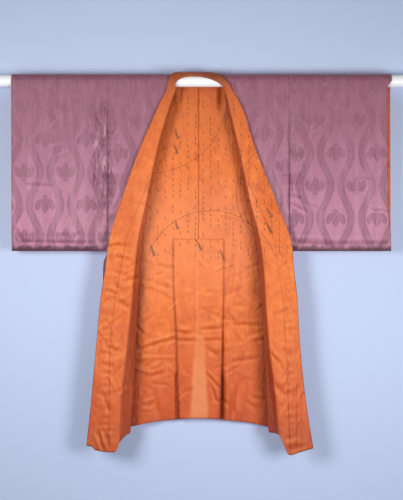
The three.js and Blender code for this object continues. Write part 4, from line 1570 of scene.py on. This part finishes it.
class COAT_OT_backs(bpy.types.Operator):
    """Builds both halves of the back"""

    bl_idname = "coat.backs"
    bl_label = "Back"

    def execute(self, context):
        origin = (BODY_CENTRE, -100 * MM)
        add_on_both_sides("back", back_surface, 1, {"left": origin, "right": origin})
        return {"FINISHED"}


class COAT_OT_vent_panel(bpy.types.Operator):
    """Builds the panel behind the open seam of the back"""

    bl_idname = "coat.vent_panel"
    bl_label = "Vent panel"

    def execute(self, context):
        add_both_cloths("vent_panel", vent_surface, 1, FLAT["vent_panel"])
        return {"FINISHED"}


class COAT_OT_sleeves(bpy.types.Operator):
    """Builds both sleeves, open at the cuff and the armhole"""

    bl_idname = "coat.sleeves"
    bl_label = "Sleeves"

    def execute(self, context):
        origins = {"left": (-429 * MM, 321 * MM), "right": (359 * MM, 365 * MM)}
        add_on_both_sides("sleeve", sleeve_surface, -1, origins)
        return {"FINISHED"}


# Heights of the floor and of the camera
FLOOR_HEIGHT = -2.1
VIEW_HEIGHT = -0.535

# Each softbox: its place, what it faces, its size and its share of the light power
SOFTBOXES = (
    ("softbox_left", (-1.35, -1.9, -0.3), (-0.135, 0, -0.58), 1.0, 1.0),
    ("softbox_right", (1.35, -1.9, -0.75), (0.135, 0, -0.58), 1.0, 0.97),
    ("softbox_behind", (0.6, 3.2, 0.0), (0, 0, -0.6), 1.6, 28 / 11),
)

# How far the softboxes spread, in degrees, and the light from all around
SOFTBOX_SPREAD = 100
SURROUND_COLOUR = (1, 0.96, 0.92, 1)
SURROUND_STRENGTH = 0.26

# The sheets of the stage: half their width and the top of the backdrop
STAGE_REACH = 3.5
BACKDROP_TOP = 1.6
FLOOR_CLOUDS = linear(190, 200, 214)


def add_sheet_of_stage(name, corners, material):
    """A flat sheet of the stage through four corners."""
    mesh = bpy.data.meshes.new(name)
    mesh.from_pydata(corners, [], [(0, 1, 2, 3)])
    sheet = bpy.data.objects.new(name, mesh)
    bpy.context.scene.collection.objects.link(sheet)
    mesh.materials.append(material)


def add_softbox(name, place, target, size, power):
    """A round softbox that the camera doesn't see."""
    light = bpy.data.lights.new(name, "AREA")
    light.shape = "DISK"
    light.size = size
    light.spread = math.radians(SOFTBOX_SPREAD)
    light.energy = power
    lamp = bpy.data.objects.new(name, light)
    lamp.location = place
    lamp.rotation_euler = (Vector(target) - Vector(place)).to_track_quat("-Z", "Y").to_euler()
    lamp.visible_camera = False
    bpy.context.scene.collection.objects.link(lamp)


class COAT_OT_stage(bpy.types.Operator):
    """Sets up the backdrop, the floor, the softboxes, the surroundings and the camera"""

    bl_idname = "coat.stage"
    bl_label = "Stage"

    def execute(self, context):
        stage = context.scene.coat_stage
        wide, high, low = STAGE_REACH, BACKDROP_TOP, FLOOR_HEIGHT
        deep = stage.backdrop_distance
        wall = [(-wide, deep, low), (wide, deep, low), (wide, deep, high), (-wide, deep, high)]
        add_sheet_of_stage("backdrop", wall, finish("backdrop_paper"))
        paper, tree, shader = new_material("floor_paper")
        tone = noise(tree, object_coordinates(tree), 0.8, 1.0)
        colour = mixed_colour(tree, tone.step(0.3, 0.7, 0.0, 0.1), stage.floor, FLOOR_CLOUDS)
        tree.links.new(colour, shader.inputs["Base Color"])
        shader.inputs["Roughness"].default_value = 0.9
        floor = [(-wide, -wide, low), (wide, -wide, low), (wide, wide, low), (-wide, wide, low)]
        add_sheet_of_stage("floor", floor, paper)
        for name, place, target, size, share in SOFTBOXES:
            add_softbox(name, place, target, size, stage.light_power * share)
        camera = bpy.data.cameras.new("camera")
        camera.sensor_width = 36
        camera.lens = camera.sensor_width * stage.camera_distance / stage.view_height
        eye = bpy.data.objects.new("camera", camera)
        eye.location = (0, -stage.camera_distance, VIEW_HEIGHT)
        eye.rotation_euler = (math.pi / 2, 0, 0)
        context.scene.collection.objects.link(eye)
        context.scene.camera = eye
        world = bpy.data.worlds.new("studio")
        world.use_nodes = True
        around = world.node_tree.nodes["Background"].inputs
        around["Color"].default_value = SURROUND_COLOUR
        around["Strength"].default_value = SURROUND_STRENGTH
        context.scene.world = world
        context.scene.view_settings.view_transform = "Standard"
        return {"FINISHED"}


class COAT_PT_panel(bpy.types.Panel):
    """Lists the coat's pieces, sizes and colours"""

    bl_idname = "COAT_PT_panel"
    bl_label = "Coat"
    bl_space_type = "VIEW_3D"
    bl_region_type = "UI"
    bl_category = "Coat"

    def draw(self, context):
        for settings in (context.scene.coat, context.scene.coat_stage):
            box = self.layout.box()
            for name in settings.bl_rna.properties.keys():
                if name not in ("rna_type", "name"):
                    box.prop(settings, name)
        for operator in OPERATORS:
            self.layout.operator(operator.bl_idname)


OPERATORS = (
    COAT_OT_rod,
    COAT_OT_fronts,
    COAT_OT_collar,
    COAT_OT_backs,
    COAT_OT_vent_panel,
    COAT_OT_sleeves,
    COAT_OT_stage,
)
CLASSES = (CoatSettings, CoatStageSettings, *OPERATORS, COAT_PT_panel)


def register():
    for kind in CLASSES:
        bpy.utils.register_class(kind)
    bpy.types.Scene.coat = bpy.props.PointerProperty(type=CoatSettings)
    bpy.types.Scene.coat_stage = bpy.props.PointerProperty(type=CoatStageSettings)


def unregister():
    del bpy.types.Scene.coat_stage
    del bpy.types.Scene.coat
    for kind in reversed(CLASSES):
        bpy.utils.unregister_class(kind)


def main():
    """Registers the add-on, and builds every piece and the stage."""
    register()
    bpy.ops.coat.rod()
    bpy.ops.coat.fronts()
    bpy.ops.coat.collar()
    bpy.ops.coat.backs()
    bpy.ops.coat.vent_panel()
    bpy.ops.coat.sleeves()
    bpy.ops.coat.stage()


if __name__ == "__main__":
    main()
